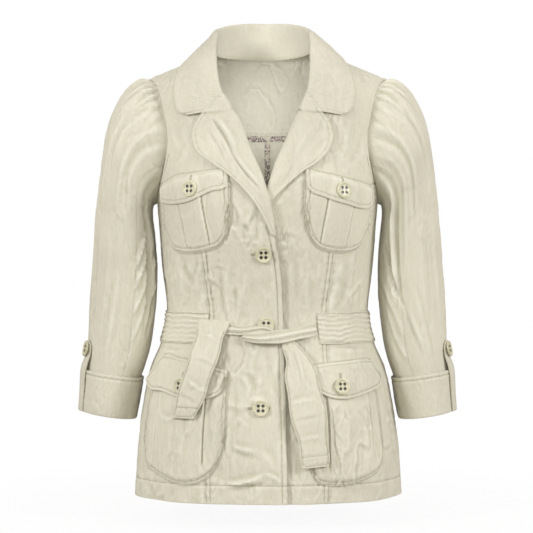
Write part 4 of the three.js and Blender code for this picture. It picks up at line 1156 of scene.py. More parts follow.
def button_material(name):
    """Cream resin, clouded, with painted shade down in its holes."""
    made, web, shader = new_material(name)
    place = web.add("ShaderNodeTexCoord").outputs["Object"]
    cloud = web.noise(place, 160.0, 4.0, 0.6)
    streak = web.noise(web.stretched(place, (1.0, 1.0, 5.0)), 90.0, 2.0, 0.5)
    tone = web.math("MULTIPLY", cloud, streak)
    share = web.add("ShaderNodeMapRange", {"Value": tone, "From Min": 0.12, "From Max": 0.4})
    base = colour("button")
    clouded = web.mix(share.outputs[0], shade(base, 0.82), shade(base, 1.08))
    # Faces down in the holes take a near-black colour: painted shade in the holes
    deep = web.add("ShaderNodeAttribute", attribute_name="deep").outputs["Fac"]
    web.tree.links.new(web.mix(deep, clouded, colour("button_hole")), shader.inputs["Base Color"])
    rough = web.add("ShaderNodeMapRange", {"Value": cloud, "To Min": 0.28, "To Max": 0.45})
    web.tree.links.new(rough.outputs[0], shader.inputs["Roughness"])
    shader.inputs["Coat Weight"].default_value = 0.15
    return made


def thread_material(name):
    """Matt twisted thread."""
    made, web, shader = new_material(name)
    place = web.add("ShaderNodeTexCoord").outputs["Object"]
    tone = web.noise(place, 900.0, 2.0, 0.5)
    base = colour("thread")
    web.tree.links.new(web.mix(tone, shade(base, 0.85), shade(base, 1.1)), shader.inputs["Base Color"])
    shader.inputs["Roughness"].default_value = 0.8
    shader.inputs["Sheen Weight"].default_value = 0.2
    return made


def floor_material(name):
    """Pale studio floor that fades out into the white of the room away from the jacket."""
    made, web, shader = new_material(name)
    place = web.add("ShaderNodeTexCoord").outputs["Object"]
    base = colour("floor")
    tone = web.noise(place, 1.5, 2.0, 0.5)
    web.tree.links.new(web.mix(tone, shade(base, 0.99), base), shader.inputs["Base Color"])
    away = web.add("ShaderNodeVectorMath", {0: place}, operation="LENGTH").outputs["Value"]
    inputs = {"Value": away, "From Min": 0.2, "From Max": 0.75, "To Min": 0.07, "To Max": 0.0}
    fading = web.add("ShaderNodeMapRange", inputs, interpolation_type="SMOOTHSTEP")
    web.tree.links.new(fading.outputs[0], shader.inputs["Alpha"])
    shader.inputs["Roughness"].default_value = 0.9
    shader.inputs["Specular IOR Level"].default_value = 0.1
    return made


FINISHES = {
    "linen": lambda name: cloth_material(name, colour("linen"), 1450.0, 1.0, 0.8),
    "binding_print": lambda name: cloth_material(name, speckled, 2600.0, 0.4, 0.5),
    "button": button_material,
    "thread": thread_material,
    "floor": floor_material,
}
made_finishes = {}


def material(name):
    """The material of a finish, made when it is first asked for."""
    if name not in made_finishes:
        made_finishes[name] = FINISHES[name](f"jacket_{name}")
    return made_finishes[name]


# Pieces of the body
ARM_LAP = 0.03
# Mesh step of the pieces behind, over that of the others
BEHIND_STEP = 1.4


def mesh_step():
    return bpy.context.scene.jacket_sizes.mesh_step / MM


def ticks(node, width, sides, step=None):
    """Places across a width, closer at its ends and at its lines of stitching."""
    first = sides[0]
    marks = [
        offset / width if side == first else 1 - offset / width
        for side, offset, *trim in seams_of(node) if side in sides
    ]
    return shares(width, step or mesh_step(), marks)


def body_climbs(node):
    """Rows from the hem up to the chest line in millimetres, and then by angle to the shoulder."""
    below = HEM + (CHEST_LINE - HEM) * ticks(node, CHEST_LINE - HEM, ("low", "high"))
    over = shares(150, mesh_step()) * QUARTER
    return np.concatenate([below - CHEST_LINE, over[1:]])[:, None]


def held_flat(side, theta, climb):
    """Near 0 at the armhole, where the sewn seam holds the cloth flat, and 1 away from it."""
    far = (arm_theta(side, climb) - np.abs(theta)) * 130
    return 0.2 + 0.8 * smooth(far, 0, 16)


def pucker(past, run, depth=0.35):
    """Short ripples that a sewn seam pulls across itself."""
    return depth * np.sin(run * 0.62 + 3 * np.sin(run * 0.07)) * np.exp(-((past / 6) ** 2))


def add_front(hand):
    sign, node = HANDS[hand], f"front_{hand}"
    climb = body_climbs(node)
    z = CHEST_LINE + climb
    seam = theta_at(sign * (princess(z) - SEAM_GAP / 2), z)
    end = np.where(z < PRINCESS_TOP, seam, sign * (arm_theta(-1, climb) + ARM_LAP))
    start = edge_theta(hand, climb)
    theta = start + (end - start) * ticks(node, 130, ("start", "end"))[None, :]
    point, normal = body_frame(-1, theta, climb)
    x, level = point[..., 0], point[..., 2]
    to_seam = np.where(level < PRINCESS_TOP, princess(level) - np.abs(x), 99)
    lap = 0.5 * (1 - smooth(to_seam, 8, 10.5))
    bare = (1 - 0.75 * covered(hand, x, level)) * held_flat(-1, theta, climb)
    height = sink_of(hand, x) + body_relief(-1, point) * bare + lap + pucker(to_seam - 5, level)
    add_cloth(node, point, normal, height)


def add_side_front(hand):
    sign, node = HANDS[hand], f"side_front_{hand}"
    z = (HEM + (PRINCESS_TOP - 0.4 - HEM) * ticks(node, PRINCESS_TOP - HEM, ("low", "high")))[:, None]
    climb = z - CHEST_LINE
    start = theta_at(princess(z) - 5, z)
    end = arm_theta(-1, climb) + np.where(z > ARMHOLE_Z - ARMHOLE_HEIGHT, ARM_LAP, 0)
    theta = start + (end - start) * ticks(node, 80, ("start", "end"))[None, :]
    point, normal = body_frame(-1, sign * theta, climb)
    x, level = point[..., 0], point[..., 2]
    past = np.abs(x) - princess(level)
    under = -1.3 * (1 - smooth(past, -0.5, 2.2))
    bare = (1 - 0.75 * covered(hand, x, level)) * held_flat(-1, theta, climb)
    add_cloth(node, point, normal, body_relief(-1, point) * bare + under + pucker(past - 2, level))


def add_back(hand):
    sign, node = HANDS[hand], f"back_{hand}"
    step = BEHIND_STEP * mesh_step()
    z = (HEM + (YOKE_SEAM + 4 - HEM) * ticks(node, YOKE_SEAM + 4 - HEM, ("low", "high"), step))[:, None]
    climb = z - CHEST_LINE
    lap = 5 if hand == "right" else 0
    start = theta_at(SEAM_GAP / 2 - lap + 0 * z, z)
    end = arm_theta(1, climb) + np.where(z > ARMHOLE_Z - ARMHOLE_HEIGHT, ARM_LAP, 0)
    theta = start + (end - start) * ticks(node, 180, ("start", "end"), step)[None, :]
    point, normal = body_frame(1, sign * theta, climb)
    across, level = sign * point[..., 0], point[..., 2]
    if hand == "right":
        height = -1.3 * (1 - smooth(across, -0.5, 2.2))
    else:
        height = 0.4 * (1 - smooth(across, 8, 10.5))
    under_yoke = -1.3 * smooth(level, YOKE_SEAM - 3, YOKE_SEAM - 0.5)
    bare = held_flat(1, theta, climb) * (1 - 0.7 * between(level, CASING["bottom"], CASING["top"]))
    relief = body_relief(1, point) * bare + pucker(across - 4, level)
    add_cloth(node, point, normal, height + under_yoke + relief)


def yoke_frame(x, lift):
    """Frames of the yoke. The lift is 0 at its seam and 1 at the shoulder or neck."""
    flat = 0.1
    at_neck = (x >= NECK_EDGE["right"]) & (x <= NECK_EDGE["left"])
    top = np.where(at_neck, climb_at(x, neck_z(x)), QUARTER)
    rise = np.maximum(lift - flat, 0) / (1 - flat)
    below = (YOKE_SEAM - CHEST_LINE) * np.maximum(1 - lift / flat, 0)
    climb = np.where(lift < flat, below + 0 * x, top * rise)
    outer = np.where(lift < flat, below, QUARTER * rise)
    reach = theta_at(x, shoulder_z(SHOULDER_TIP)) / QUARTER
    theta = reach * (arm_theta(1, outer) + ARM_LAP)
    return theta, outer, *body_frame(1, theta, climb)


def add_yoke():
    x = (-SHOULDER_TIP + 2 * SHOULDER_TIP * shares(2 * SHOULDER_TIP, mesh_step()))[None, :]
    lift = ticks("back_yoke", 150, ("low", "high"))[:, None]
    theta, outer, point, normal = yoke_frame(x, lift)
    lap = 0.4 * (1 - smooth(point[..., 2], YOKE_SEAM + 8, YOKE_SEAM + 10.5))
    relief = body_relief(1, point) * held_flat(1, theta, outer)
    add_cloth("back_yoke", point, normal, relief + lap + pucker(point[..., 2] - YOKE_SEAM - 4, point[..., 0]))


def add_binding(node, theta, z, across, seed):
    """A domed tape on the inner side of a seam. Across runs from -1 to 1 over its width."""
    point, normal = body_frame(1, theta, z - CHEST_LINE)
    ripple = 0.4 * noise(point, (14, 14, 14), seed)
    sunk = point - normal * (BINDING["out"] + 0.6 * (1 - across**2) + ripple)[..., None]
    follow = body_relief(1, point) * held_flat(1, theta, z - CHEST_LINE)
    add_cloth(node, sunk, -normal, -follow, thick=0.8, curl=0.2,
              finish="binding_print")


def add_bindings():
    half = BINDING["width"] / 2
    x = (-SHOULDER_TIP + 2 * SHOULDER_TIP * shares(2 * SHOULDER_TIP, 3.4))[None, :]
    across = (2 * shares(2 * half, 1.2) - 1)[:, None]
    z = YOKE_SEAM + half * across + 0 * x
    reach = theta_at(x, shoulder_z(SHOULDER_TIP)) / QUARTER
    theta = reach * (arm_theta(1, z - CHEST_LINE) - 0.04)
    add_binding("binding_yoke", theta, z, across + 0 * x, 61)
    top = YOKE_SEAM - half - 0.8
    z = (HEM + 4 + (top - HEM - 4) * shares(top - HEM, 3.4))[:, None]
    across = (2 * shares(2 * half, 1.2) - 1)[None, :]
    add_binding("binding_back", theta_at(half * across + 0 * z, z), z + 0 * across, across + 0 * z, 67)


# Lapels and collar
def add_lapel(hand):
    sign, rows = HANDS[hand], LAPEL[hand]
    v = shares(215, 2.4) * (len(rows["roll_x"]) - 1)
    roll_x, roll_z, out_x, out_z = (through(column, v)[:, None] for column in rows.values())
    i = np.linspace(0, len(LAPEL_ROLL["share"]) - 1, 52)
    share, rise, pull = (through(column, i)[None, :] for column in LAPEL_ROLL.values())
    share = np.clip(share, 0, 1)
    soft = np.minimum(np.abs(out_x - roll_x) / 40, 1)
    x = roll_x + (out_x - roll_x) * share - sign * pull * (0.4 + 0.6 * soft)
    z = roll_z + (out_z - roll_z) * share
    point, normal = frame_at(-1, x, z)
    over = np.where(rise > 0, rise * soft, rise)
    height = sink_of(hand, x) + 1.4 * REST_GAP + over
    base = point + normal * height[..., None]
    relief = 0.4 * crumple(point, 3) + folds(LAPEL_FOLDS[hand], x, z)
    relief = relief * smooth(share, 0.03, 0.2) * np.ones_like(height)
    relief = np.where(share > 0.05, settled(base, normal, relief, ["collar", f"front_{hand}"], 0.3), relief)
    # With painted shade along the lapel's edges
    add_cloth(f"lapel_{hand}", base, normal, relief, offset=1,
              curl=0.3, edge_shade=0.9)


def clear_of(side, point, height):
    """Lifts a point that is below the shoulder line to a height over the body."""
    if point[2] > shoulder_z(point[0]):
        return point
    foot, normal = frame_at(side, point[0], point[2])
    return point + normal * max(height - (point - foot) @ normal, 0)


def collar_station(k, sign, lean):
    side, seam_at, rise, up, edge_x, edge_z = (column[k] for column in COLLAR.values())
    inward = 0.8 + 3 * SEAM_GAP
    hand = "right" if sign < 0 else "left"
    seam_x = front_edge[hand](seam_at) if side < 0 else NECK_EDGE[hand] * seam_at
    seam_z = seam_at if side < 0 else neck_z(seam_x)
    foot, normal = frame_at(side, seam_x, seam_z)
    seam = foot - normal * 0.8
    drop = 0
    if side < 0:
        seam = seam - np.array([sign * inward, 0, 0])
        tucked = seam
    else:
        tucked = seam - normal * 1.9 - np.array([0, 0, 3])
        seam = seam + np.array([0, 0, 4 * SEAM_GAP])
        drop = neck_z(seam_x) - NECK_POINT[1]
    lift = unit(normal * (1, 1, 0)) * (1 - up) + np.array([0, 0, up])
    lift = unit(lift)
    fold = seam + lift * (rise - drop)
    edge_foot, edge_normal = frame_at(side, sign * edge_x + lean, edge_z)
    edge = edge_foot + edge_normal * 4.4
    out = edge - fold
    out = unit(out - lift * (out @ lift))
    top = fold + out * 2.1 + lift * 1.5
    fold_out = fold + out * 5.2 + lift * 1.1 + edge_normal * 0.6
    leaf = [
        clear_of(side, fold_out + (edge - fold_out) * share + edge_normal * 2, 4) for share in (0.3, 0.65)
    ]
    return [tucked, seam + (fold - seam) * 0.45, fold, top, fold_out, *leaf, edge]


def add_collar():
    last = len(COLLAR["side"]) - 1
    leans = COLLAR_LEAN * (1 - smooth(np.arange(last + 1), 4, 8))
    stations = [collar_station(k, -1, leans[k]) for k in range(last + 1)]
    stations += [collar_station(k, 1, leans[k]) for k in range(last - 1, -1, -1)]
    stations = np.array(stations)
    net = through(stations, shares(460, 2.8) * (len(stations) - 1))
    across = np.concatenate([np.linspace(0, 2, 9)[:-1], np.linspace(2, 4, 9)[:-1], np.linspace(4, 7, 18)])
    point = through(net.swapaxes(0, 1), across)
    normal = grid_normals(point)
    out_share = smooth(np.arange(point.shape[0]), 15, 24)[:, None]
    relief = 0.4 * crumple(point, 7) * (0.35 + 0.65 * out_share)
    # With painted shade along the collar's edges
    add_cloth("collar", point, normal, relief, offset=0, curl=0.2,
              thick=1.9, edge_shade=0.9)


# Sleeves and cuffs
def arm_seam_x(side, y, z):
    low, high = np.zeros_like(y), half_width(z)
    for _ in range(26):
        middle = (low + high) / 2
        point = body_point(side, theta_at(middle, z), climb_at(middle, z))
        inside = np.abs(point[..., 1]) > np.abs(y)
        low, high = np.where(inside, middle, low), np.where(inside, high, middle)
    return low


def seam_ring(phi):
    shrink = 0.9
    y = -np.sin(phi) * ARMHOLE_DEPTH
    z = ARMHOLE_Z + np.cos(phi) * ARMHOLE_HEIGHT
    x = np.where(np.sin(phi) >= 0, arm_seam_x(-1, y, z), arm_seam_x(1, y, z))
    low = ARMHOLE_Z + np.cos(phi) * (ARMHOLE_HEIGHT - shrink)
    return np.stack([x + 0.7, y * (1 - shrink / ARMHOLE_DEPTH), low], -1)


def ring(rows, k, phi):
    """Points round a sleeve or cuff row. A fractional row is read between two."""
    out_x, out_z, in_x, in_z, depth, tuck = (through(column, k) for column in rows.values())
    c, s = np.cos(phi), np.sin(phi)
    x = (out_x + in_x) / 2 + c * (out_x - in_x) / 2 - tuck * s * s
    z = (out_z + in_z) / 2 + c * (out_z - in_z) / 2
    return np.stack(np.broadcast_arrays(x, -depth * s, z), -1)


def sleeve_stations(phi):
    """Rings from the armhole down to the sleeve's end, with the gathers of its head."""
    found = [seam_ring(phi)]
    for k in range(len(SLEEVE["depth"])):
        point = ring(SLEEVE, np.array(float(k)), phi)
        middle = (ring(SLEEVE, np.array(float(k)), 0.0) + ring(SLEEVE, np.array(float(k)), math.pi)) / 2
        share = GATHERS["rows"][k] if k < len(GATHERS["rows"]) else 0
        wave = np.sin(phi / GATHERS["reach"] * GATHERS["count"] * math.pi)
        rise = np.where(np.abs(phi) < GATHERS["reach"], GATHERS["rise"] * share * wave, 0)
        found.append(point + unit(point - middle) * rise[..., None])
    return np.array(found)


def cap_relief(phi, depth_along):
    """Small uneven pleats that run down from the gathered head of the sleeve."""
    total = np.zeros(np.broadcast_shapes(phi.shape, depth_along.shape))
    for turn, lean, length, rise in zip(*CAP_PLEATS.values()):
        share = np.clip(depth_along / length, 0, 1)
        middle = math.radians(turn) + math.radians(lean) * share
        off = (phi - middle) / (math.radians(1.9) * (1 + 0.8 * share))
        ridge = np.exp(-(off**2)) - np.exp(-(((off - 1.6) / 0.7) ** 2))
        total = total + 1.5 * rise * (1 - share) ** 0.8 * smooth(depth_along, 1, 9) * ridge
    return total


def add_sleeve_part(name, hand, phi, step):
    sign = HANDS[hand]
    phi = np.asarray(phi)[None, :]
    stations = sleeve_stations(phi[0])
    rows = np.concatenate([shares(40, step) * 2, 2 + 11 * shares(390, step)[1:]])
    point = through(stations, rows)
    length = spans(point, 0)
    middle = (point.min(axis=1, keepdims=True) + point.max(axis=1, keepdims=True)) / 2
    normal = grid_normals(point)
    outward = (normal * (point - middle)).sum(-1).mean()
    normal = normal if outward > 0 else -normal
    round_mm = np.degrees(np.where(phi > math.pi, phi - 2 * math.pi, phi)) * 4 / 3
    in_cuff = 1 - 0.75 * smooth(rows[:, None], 10.6, 11.2)
    at_seam = smooth(length, 0, 16)
    place = point * (sign, 1, 1)
    relief = crumple(place, 40, 0.6) * at_seam
    relief = relief + 1.5 * folds(SLEEVE_FOLDS[hand], round_mm + 0 * length, point[..., 2]) * at_seam
    relief = relief + cap_relief(np.where(phi > math.pi, phi - 2 * math.pi, phi), length)
    relief = np.where(rows[:, None] > 10.6, np.minimum(relief, 0.6), relief) * in_cuff
    past_seam = (np.abs(phi - math.pi) - (math.pi - SLEEVE_SEAM)) * 75 if "under" in name else -99
    ripples = pucker(past_seam, length) * (np.abs(past_seam) < 90)
    relief = relief - 1.4 * smooth(past_seam, -2.2, 0.5) + ripples
    flip = np.array([sign, 1, 1])
    add_cloth(name, point * flip, normal * flip, relief)


def add_sleeve(hand):
    pleats = 0.5 + np.radians(CAP_PLEATS["turn"] + 1.5) / (2 * SLEEVE_SEAM)
    upper = -SLEEVE_SEAM + 2 * SLEEVE_SEAM * shares(290, mesh_step(), pleats)
    step = BEHIND_STEP * mesh_step()
    under = SLEEVE_SEAM - 0.05 + (2 * math.pi - 2 * SLEEVE_SEAM + 0.1) * shares(168, step)
    add_sleeve_part(f"upper_sleeve_{hand}", hand, upper, mesh_step())
    add_sleeve_part(f"under_sleeve_{hand}", hand, under, step)


# A cuff's section: the row of its table and the height over it, with the fold at its foot
CUFF_SECTION = table(
    "row height",
    (0, 0), (0.3, 0), (0.7, 0), (1.1, 0), (1.5, 0), (1.9, 0), (2, -0.5), (2.02, -1.2),
    (2, -2), (1.9, -2.2), (1.6, -2.2),
)


def add_cuff(hand):
    sign = HANDS[hand]
    phi = np.linspace(0, 2 * math.pi, 128, endpoint=False)
    i = np.concatenate([[0, 0.04, 0.1], np.linspace(0.2, 5, 24), np.linspace(5.2, 10, 20)])
    row, height = through(CUFF_SECTION["row"], i), through(CUFF_SECTION["height"], i)
    point = ring(CUFF, row[:, None], phi[None, :])
    middle = (ring(CUFF, row[:, None], 0.0) + ring(CUFF, row[:, None], math.pi)) / 2
    normal = unit(point - middle)
    flip = np.array([sign, 1, 1])
    base = (point + normal * height[:, None, None]) * flip
    relief = 0.6 * crumple(base, 50) * smooth(2 - row, 0, 0.25)[:, None]
    add_cloth(f"cuff_{hand}", base, normal * flip, np.maximum(relief, -0.4), closed=True,
              curl=0.25)


# Where a tab runs: rows of the cuff and of the sleeve, and its height over them
TAB_STATIONS = (
    ("cuff", 2, 0.6), ("cuff", 1, 0.6), ("cuff", 0, 0.6), ("sleeve", 10, 1.6), ("sleeve", 9.35, 0.9),
)


def tab_frames(kind, row, phi):
    rows = CUFF if kind == "cuff" else SLEEVE
    k = int(min(row, len(rows["depth"]) - 2))
    mixed = {name: column[k] + (column[k + 1] - column[k]) * (row - k) for name, column in rows.items()}
    single = {name: np.array([value, value]) for name, value in mixed.items()}
    point = ring(single, np.array(0.0), phi)
    ahead = ring(single, np.array(0.0), phi + 0.01) - ring(single, np.array(0.0), phi - 0.01)
    lean = unit(np.array([mixed["in_x"] - mixed["out_x"], 0, mixed["in_z"] - mixed["out_z"]]))
    down = np.array([-lean[2], 0, lean[0]])
    normal = unit(np.cross(ahead, down))
    return point, np.where(normal[..., :1] < 0, -normal, normal)


def add_tab(hand):
    sign = HANDS[hand]
    u = np.linspace(-1, 1, 13)
    stations, facings = [], []
    for kind, row, out in TAB_STATIONS:
        point, normal = tab_frames(kind, row, TAB_TURN + TAB_HALF * u)
        stations.append(point + normal * out)
        facings.append(normal)
    w = shares(95, 1.8)
    dense, facing = through(np.array(stations), 4 * w), unit(through(np.array(facings), 4 * w))
    end = np.clip((w - 0.88) / 0.12, 0, 1)
    wide = np.sqrt(np.maximum(1 - end**2, 0.0016))
    columns = 2 * shares(27, 1.8) - 1
    point = np.array([read_at(columns * share, u, line) for share, line in zip(wide, dense)])
    normal = unit(np.array([read_at(columns * share, u, line) for share, line in zip(wide, facing)]))
    crown = 0.5 * (1 - columns[None, :] ** 2)
    flip = np.array([sign, 1, 1])
    relief = crown + 0.35 * crumple(point, 70)
    # With painted shade along the tab's edges
    add_cloth(f"tab_{hand}", point * flip, normal * flip, relief, thick=1.5,
              offset=1, curl=0.35, edge_shade=0.8)


# Pockets, flaps, casing and tie
# How far the top of the outer edge of a hip pocket or flap leans towards the middle
LEAN = {"hip_flap_right": 13, "hip_pocket_right": 9, "hip_flap_left": 8, "hip_pocket_left": 6}


def laid_grid(name, across, up):
    """Frames on the front for a pocket or flap, with its x and z."""
    rows = OUTLINE[name]
    x = rows["x"][0] + (rows["x"][-1] - rows["x"][0]) * across[None, :]
    top, bottom = curve_of(rows, "x", "top")(x), curve_of(rows, "x", "bottom")(x)
    z = bottom + (top - bottom) * up[:, None]
    level = LEVEL[name.rsplit("_", 1)[0]]
    sign = HANDS[name.rsplit("_", 1)[1]]
    outer = smooth(sign * x, 100, 175) if sign * rows["x"].mean() > 0 else 0
    lean = LEAN.get(name, 0) * smooth(z, bottom.min() + 6 if "flap" in name else -480, top.max()) * outer
    x = x - sign * lean
    theta = theta_at(x, np.full_like(x, level))
    point, normal = body_frame(-1, theta, climb_at(x, z))
    return x, z, point, normal


def pleat(x, at, way, depth):
    """A folded edge: a narrow dark step down past a line, from which the cloth comes back softly."""
    past = (x - at) * way
    step = smooth(past, -0.6, 0.6) * (1 - smooth(past, 5, 18))
    return -depth * (0.8 * step + 1.6 * np.exp(-(((past - 0.9) / 1.1) ** 2)))


def beside(marks, width, off=2.6):
    """Marks with two more close by, so that the grid is fine enough for a pleat."""
    return [mark + way * off / width for mark in marks for way in (-1, 0, 1)]


def add_chest_pocket(hand):
    name = f"chest_pocket_{hand}"
    rows = OUTLINE[name]
    folds_at = (0.22, 0.54) if hand == "right" else (0.4, 0.77)
    width = rows["x"][-1] - rows["x"][0]
    across = shares(width, 1.2, [8.2 / width, 1 - 8.2 / width])
    x, z, point, normal = laid_grid(name, across, ticks(name, 95, ("low", "high"), 2.4))
    up = (z - z[0]) / (z[-1] - z[0])
    lean = 0.15 * (1 - up) * (-1 if hand == "right" else 1)
    line = (across[None, :] + lean) * width
    low, high = (place * width for place in folds_at)
    box = pleat(line, low, -1, 1.7) + pleat(line, high, 1, 2.2)
    fade = smooth(up, 0.04, 0.12)
    puff = 1.2 * np.sin(np.pi * across)[None, :] * np.sin(np.pi * up) ** 0.7
    own = 0.45 * crumple(point, 80) * (1 - 0.7 * smooth(up, 0.6, 0.9))
    relief = REST_GAP + 2.6 * smooth(up, 0, 0.1) + 1 + box * fade + puff + sink_of(hand, x) + own
    # With painted shade along the pocket's edges
    add_cloth(name, point, normal, relief, edge_shade=0.8,
              over=[f"front_{hand}", f"side_front_{hand}"])


def add_hip_pocket(hand):
    name = f"hip_pocket_{hand}"
    rows = OUTLINE[name]
    wide = rows["x"][-1] - rows["x"][0]
    lines = {"right": (-157, -88), "left": (84, 145)}[hand]
    marks = tuple((at - rows["x"][0]) / wide for at in lines)
    across = shares(122, 1.7, [*beside(marks, wide), 5.6 / wide, 1 - 5.6 / wide])
    x, z, point, normal = laid_grid(name, across, ticks(name, 160, ("low", "high"), 2.6))
    share = (x - rows["x"][0]) / wide
    up = (z - z[0]) / (z[-1] - z[0])
    under_flap = 1 - 0.75 * smooth(up, 0.62, 0.86)
    stand = 3.4 * smooth(share, 0.0, 0.09) * smooth(1 - share, 0.0, 0.09) * smooth(up, 0, 0.08)
    bow = 2 * np.sin(np.pi * np.clip((z + 590) / 150, 0, 1))
    deep = pleat(x, lines[0] + bow, -1, 2.9) + pleat(x, lines[1] - bow, 1, 2.9)
    puff = 1.6 * np.sin(np.pi * share) * np.sin(np.pi * up) ** 0.6
    relief = stand + puff + deep * smooth(up, 0.08, 0.24) + crumple(point, 90)
    relief = relief + folds(POCKET_FOLDS[name], x, z) * smooth(up, 0.03, 0.12)
    relief = REST_GAP + 1 + relief * under_flap + sink_of(hand, x)
    # With painted shade along the pocket's edges
    add_cloth(name, point, normal, relief, edge_shade=0.8,
              over=[f"front_{hand}", f"side_front_{hand}"])


def add_flap(kind, hand):
    name, bag = f"{kind}_flap_{hand}", f"{kind}_pocket_{hand}"
    across, tall = ticks(name, 100, ("start", "end"), 2.2), 30 if kind == "chest" else 48
    x, z, point, normal = laid_grid(name, across, ticks(name, tall, ("low", "high"), 2.0))
    up = (z - z[0]) / (z[-1] - z[0])
    near_top = smooth(up, 0.7, 1)
    stand = 3.6 - 2.4 * near_top if kind == "chest" else 4.4 + 3.2 * (1 - up) - 3 * near_top
    belly = 0.9 * np.sin(np.pi * across)[None, :] * (1 - near_top)
    relief = stand + belly + sink_of(hand, x) + (0.55 if kind == "chest" else 0.8) * crumple(point, 100)
    # With painted shade along the flap's edges
    add_cloth(name, point, normal, relief, thick=1.8, curl=0.6, edge_shade=0.8,
              over=[bag, f"front_{hand}", f"side_front_{hand}"])


def casing_relief(point, share):
    """Level tucks that waver and catch on each other round the waist."""
    drift = 0.1 * noise(point, (30, 30, 60), 121) + 0.05 * noise(point, (10, 10, 30), 123)
    turns = 2 * math.pi * CASING["tucks"] * (share + drift)
    tuck = 0.5 - 0.5 * np.cos(turns)
    strong = 0.7 + 0.6 * noise(point, (20, 20, 9), 127)
    cross = 0.45 * crinkle(point, (9, 9, 15), 0.3, 131)
    return 0.3 + 1.5 * CASING["rise"] * tuck**1.2 * strong + cross


def add_casing(name, side, start, end):
    share = shares(44, 1.3)[:, None]
    z = CASING["bottom"] + (CASING["top"] - CASING["bottom"]) * share
    theta = start + (end - start) * shares(abs(end - start) * 130, 2.8)[None, :]
    point, normal = body_frame(side, theta, z - CHEST_LINE)
    relief = REST_GAP + 0.8 + casing_relief(point, share)
    under = ["front", "side_front"] if side < 0 else ["back"]
    hands = [name[7:]] if side < 0 else list(HANDS)
    add_cloth(name, point, normal, relief, curl=0.7,
              over=[f"{kind}_{hand}" for kind in under for hand in hands])


def add_casings():
    level = (CASING["top"] + CASING["bottom"]) / 2
    end = QUARTER - 0.002
    add_casing("casing_right", -1, -end, -theta_at(-CASING["right"], level))
    add_casing("casing_left", -1, theta_at(CASING["left"], level), end)
    add_casing("casing_back", 1, -end, end)


# What each part of the tie lies on
TIE_OVER = {
    "tie_strand_right": ["front_right", "front_left", "casing_right"],
    "tie_strand_left": ["front_right", "front_left", "casing_left", "tie_strand_right", "tie_tail_left"],
    "tie_tail_right": ["casing_right", "tie_strand_right", "hip_flap_right", "hip_pocket_right"],
    "tie_tail_left": ["front_left", "hip_flap_left", "hip_pocket_left"],
}


def add_tie(name):
    rows = TIE[name]
    last = len(rows["x"]) - 1
    run = float(np.hypot(np.diff(rows["x"]), np.diff(rows["z"])).sum())
    i = (shares(run, 2.2) * last)[:, None]
    x, z, half, low, skew = (through(column, i) for column in rows.values())
    path = np.stack([x[:, 0], z[:, 0]], -1)
    heading = unit(np.gradient(path, axis=0))
    wide = 2 * float(rows["half"].max())
    u = (2 * shares(wide, 1.7) - 1)[None, :]
    soft_edge = 1 + 0.05 * np.sin(i * 3.1) * np.abs(u)
    across_x = x - heading[:, 1:] * half * u * soft_edge
    across_z = z + (heading[:, :1] * half * soft_edge + skew) * u
    point, normal = frame_at(-1, across_x, across_z)
    crown = 0.8 * (1 - u * u) + 2
    strand = "strand" in name
    bands = 1.9 if strand else 2.2
    lengthways = (1.5 if strand else 0.4) * np.sin(u * bands * math.pi + 1.6 * np.sin(i * 1.1) + 0.4 * i)
    if name in TIE_FOLDS:
        lengthways = lengthways * (1 - smooth(i, 0.8, 2.5)) + folds(TIE_FOLDS[name], across_x, across_z)
    relief = low + crown + lengthways * smooth(1 - np.abs(u), 0, 0.3) + 0.5 * crumple(point, 140)
    # With painted shade along the tie's edges
    add_cloth(name, point, normal, relief, thick=1.7, edge_shade=0.7,
              over=TIE_OVER[name])


# Buttons
def button_body():
    """One button at the origin, facing +Z, from a turned cylinder with four holes."""
    radius, depth = 11.3 * MM, 2.6 * MM
    bpy.ops.object.select_all(action="DESELECT")
    bpy.ops.mesh.primitive_cylinder_add(vertices=48, radius=radius, depth=depth, location=(0, 0, depth / 2))
    piece = bpy.context.active_object
    bpy.ops.object.transform_apply(location=True, rotation=True, scale=True)
    mesh = piece.data

    def pick_top():
        bpy.ops.object.mode_set(mode="OBJECT")
        tops = [face for face in mesh.polygons if face.normal.z > 0.9 and len(face.vertices) > 4]
        highest = max(face.center.z for face in tops)
        for face in mesh.polygons:
            face.select = face.normal.z > 0.9 and len(face.vertices) > 4 and face.center.z > highest - 1e-5
        bpy.ops.object.mode_set(mode="EDIT")

    bpy.ops.object.mode_set(mode="EDIT")
    bpy.ops.mesh.select_mode(type="FACE")
    for width, drop in ((0.6, 0.0), (1.4, 0.4), (0.9, -0.95), (1.1, -0.25)):
        pick_top()
        bpy.ops.mesh.inset(thickness=width * MM, depth=drop * MM)
    bpy.ops.object.mode_set(mode="OBJECT")
    apply_modifier(piece, "BEVEL", width=0.45 * MM, segments=3, limit_method="ANGLE",
                   angle_limit=math.radians(40))
    for k in range(4):
        turn = math.radians(45 + 90 * k)
        height = depth * 0.5 + 4 * depth / 2 - depth * 0.3
        place = (4.6 * MM * math.cos(turn), 4.6 * MM * math.sin(turn), height)
        bpy.ops.mesh.primitive_cylinder_add(vertices=20, radius=2.3 * MM, depth=4 * depth, location=place)
        drill = bpy.context.active_object
        apply_modifier(piece, "BOOLEAN", object=drill, operation="DIFFERENCE", solver="EXACT")
        bpy.data.objects.remove(drill)
    only(piece)
    bpy.ops.object.shade_smooth_by_angle(angle=math.radians(35))
    # Faces on the walls of the holes are marked for the painted shade of the holes
    deep = mesh.attributes.new("deep", "FLOAT", "FACE")
    for face, value in zip(mesh.polygons, deep.data):
        near = math.hypot(face.center.x, face.center.y) < 7.1 * MM
        value.value = float(near and 0.3 * MM < face.center.z < 1.7 * MM)
    return piece


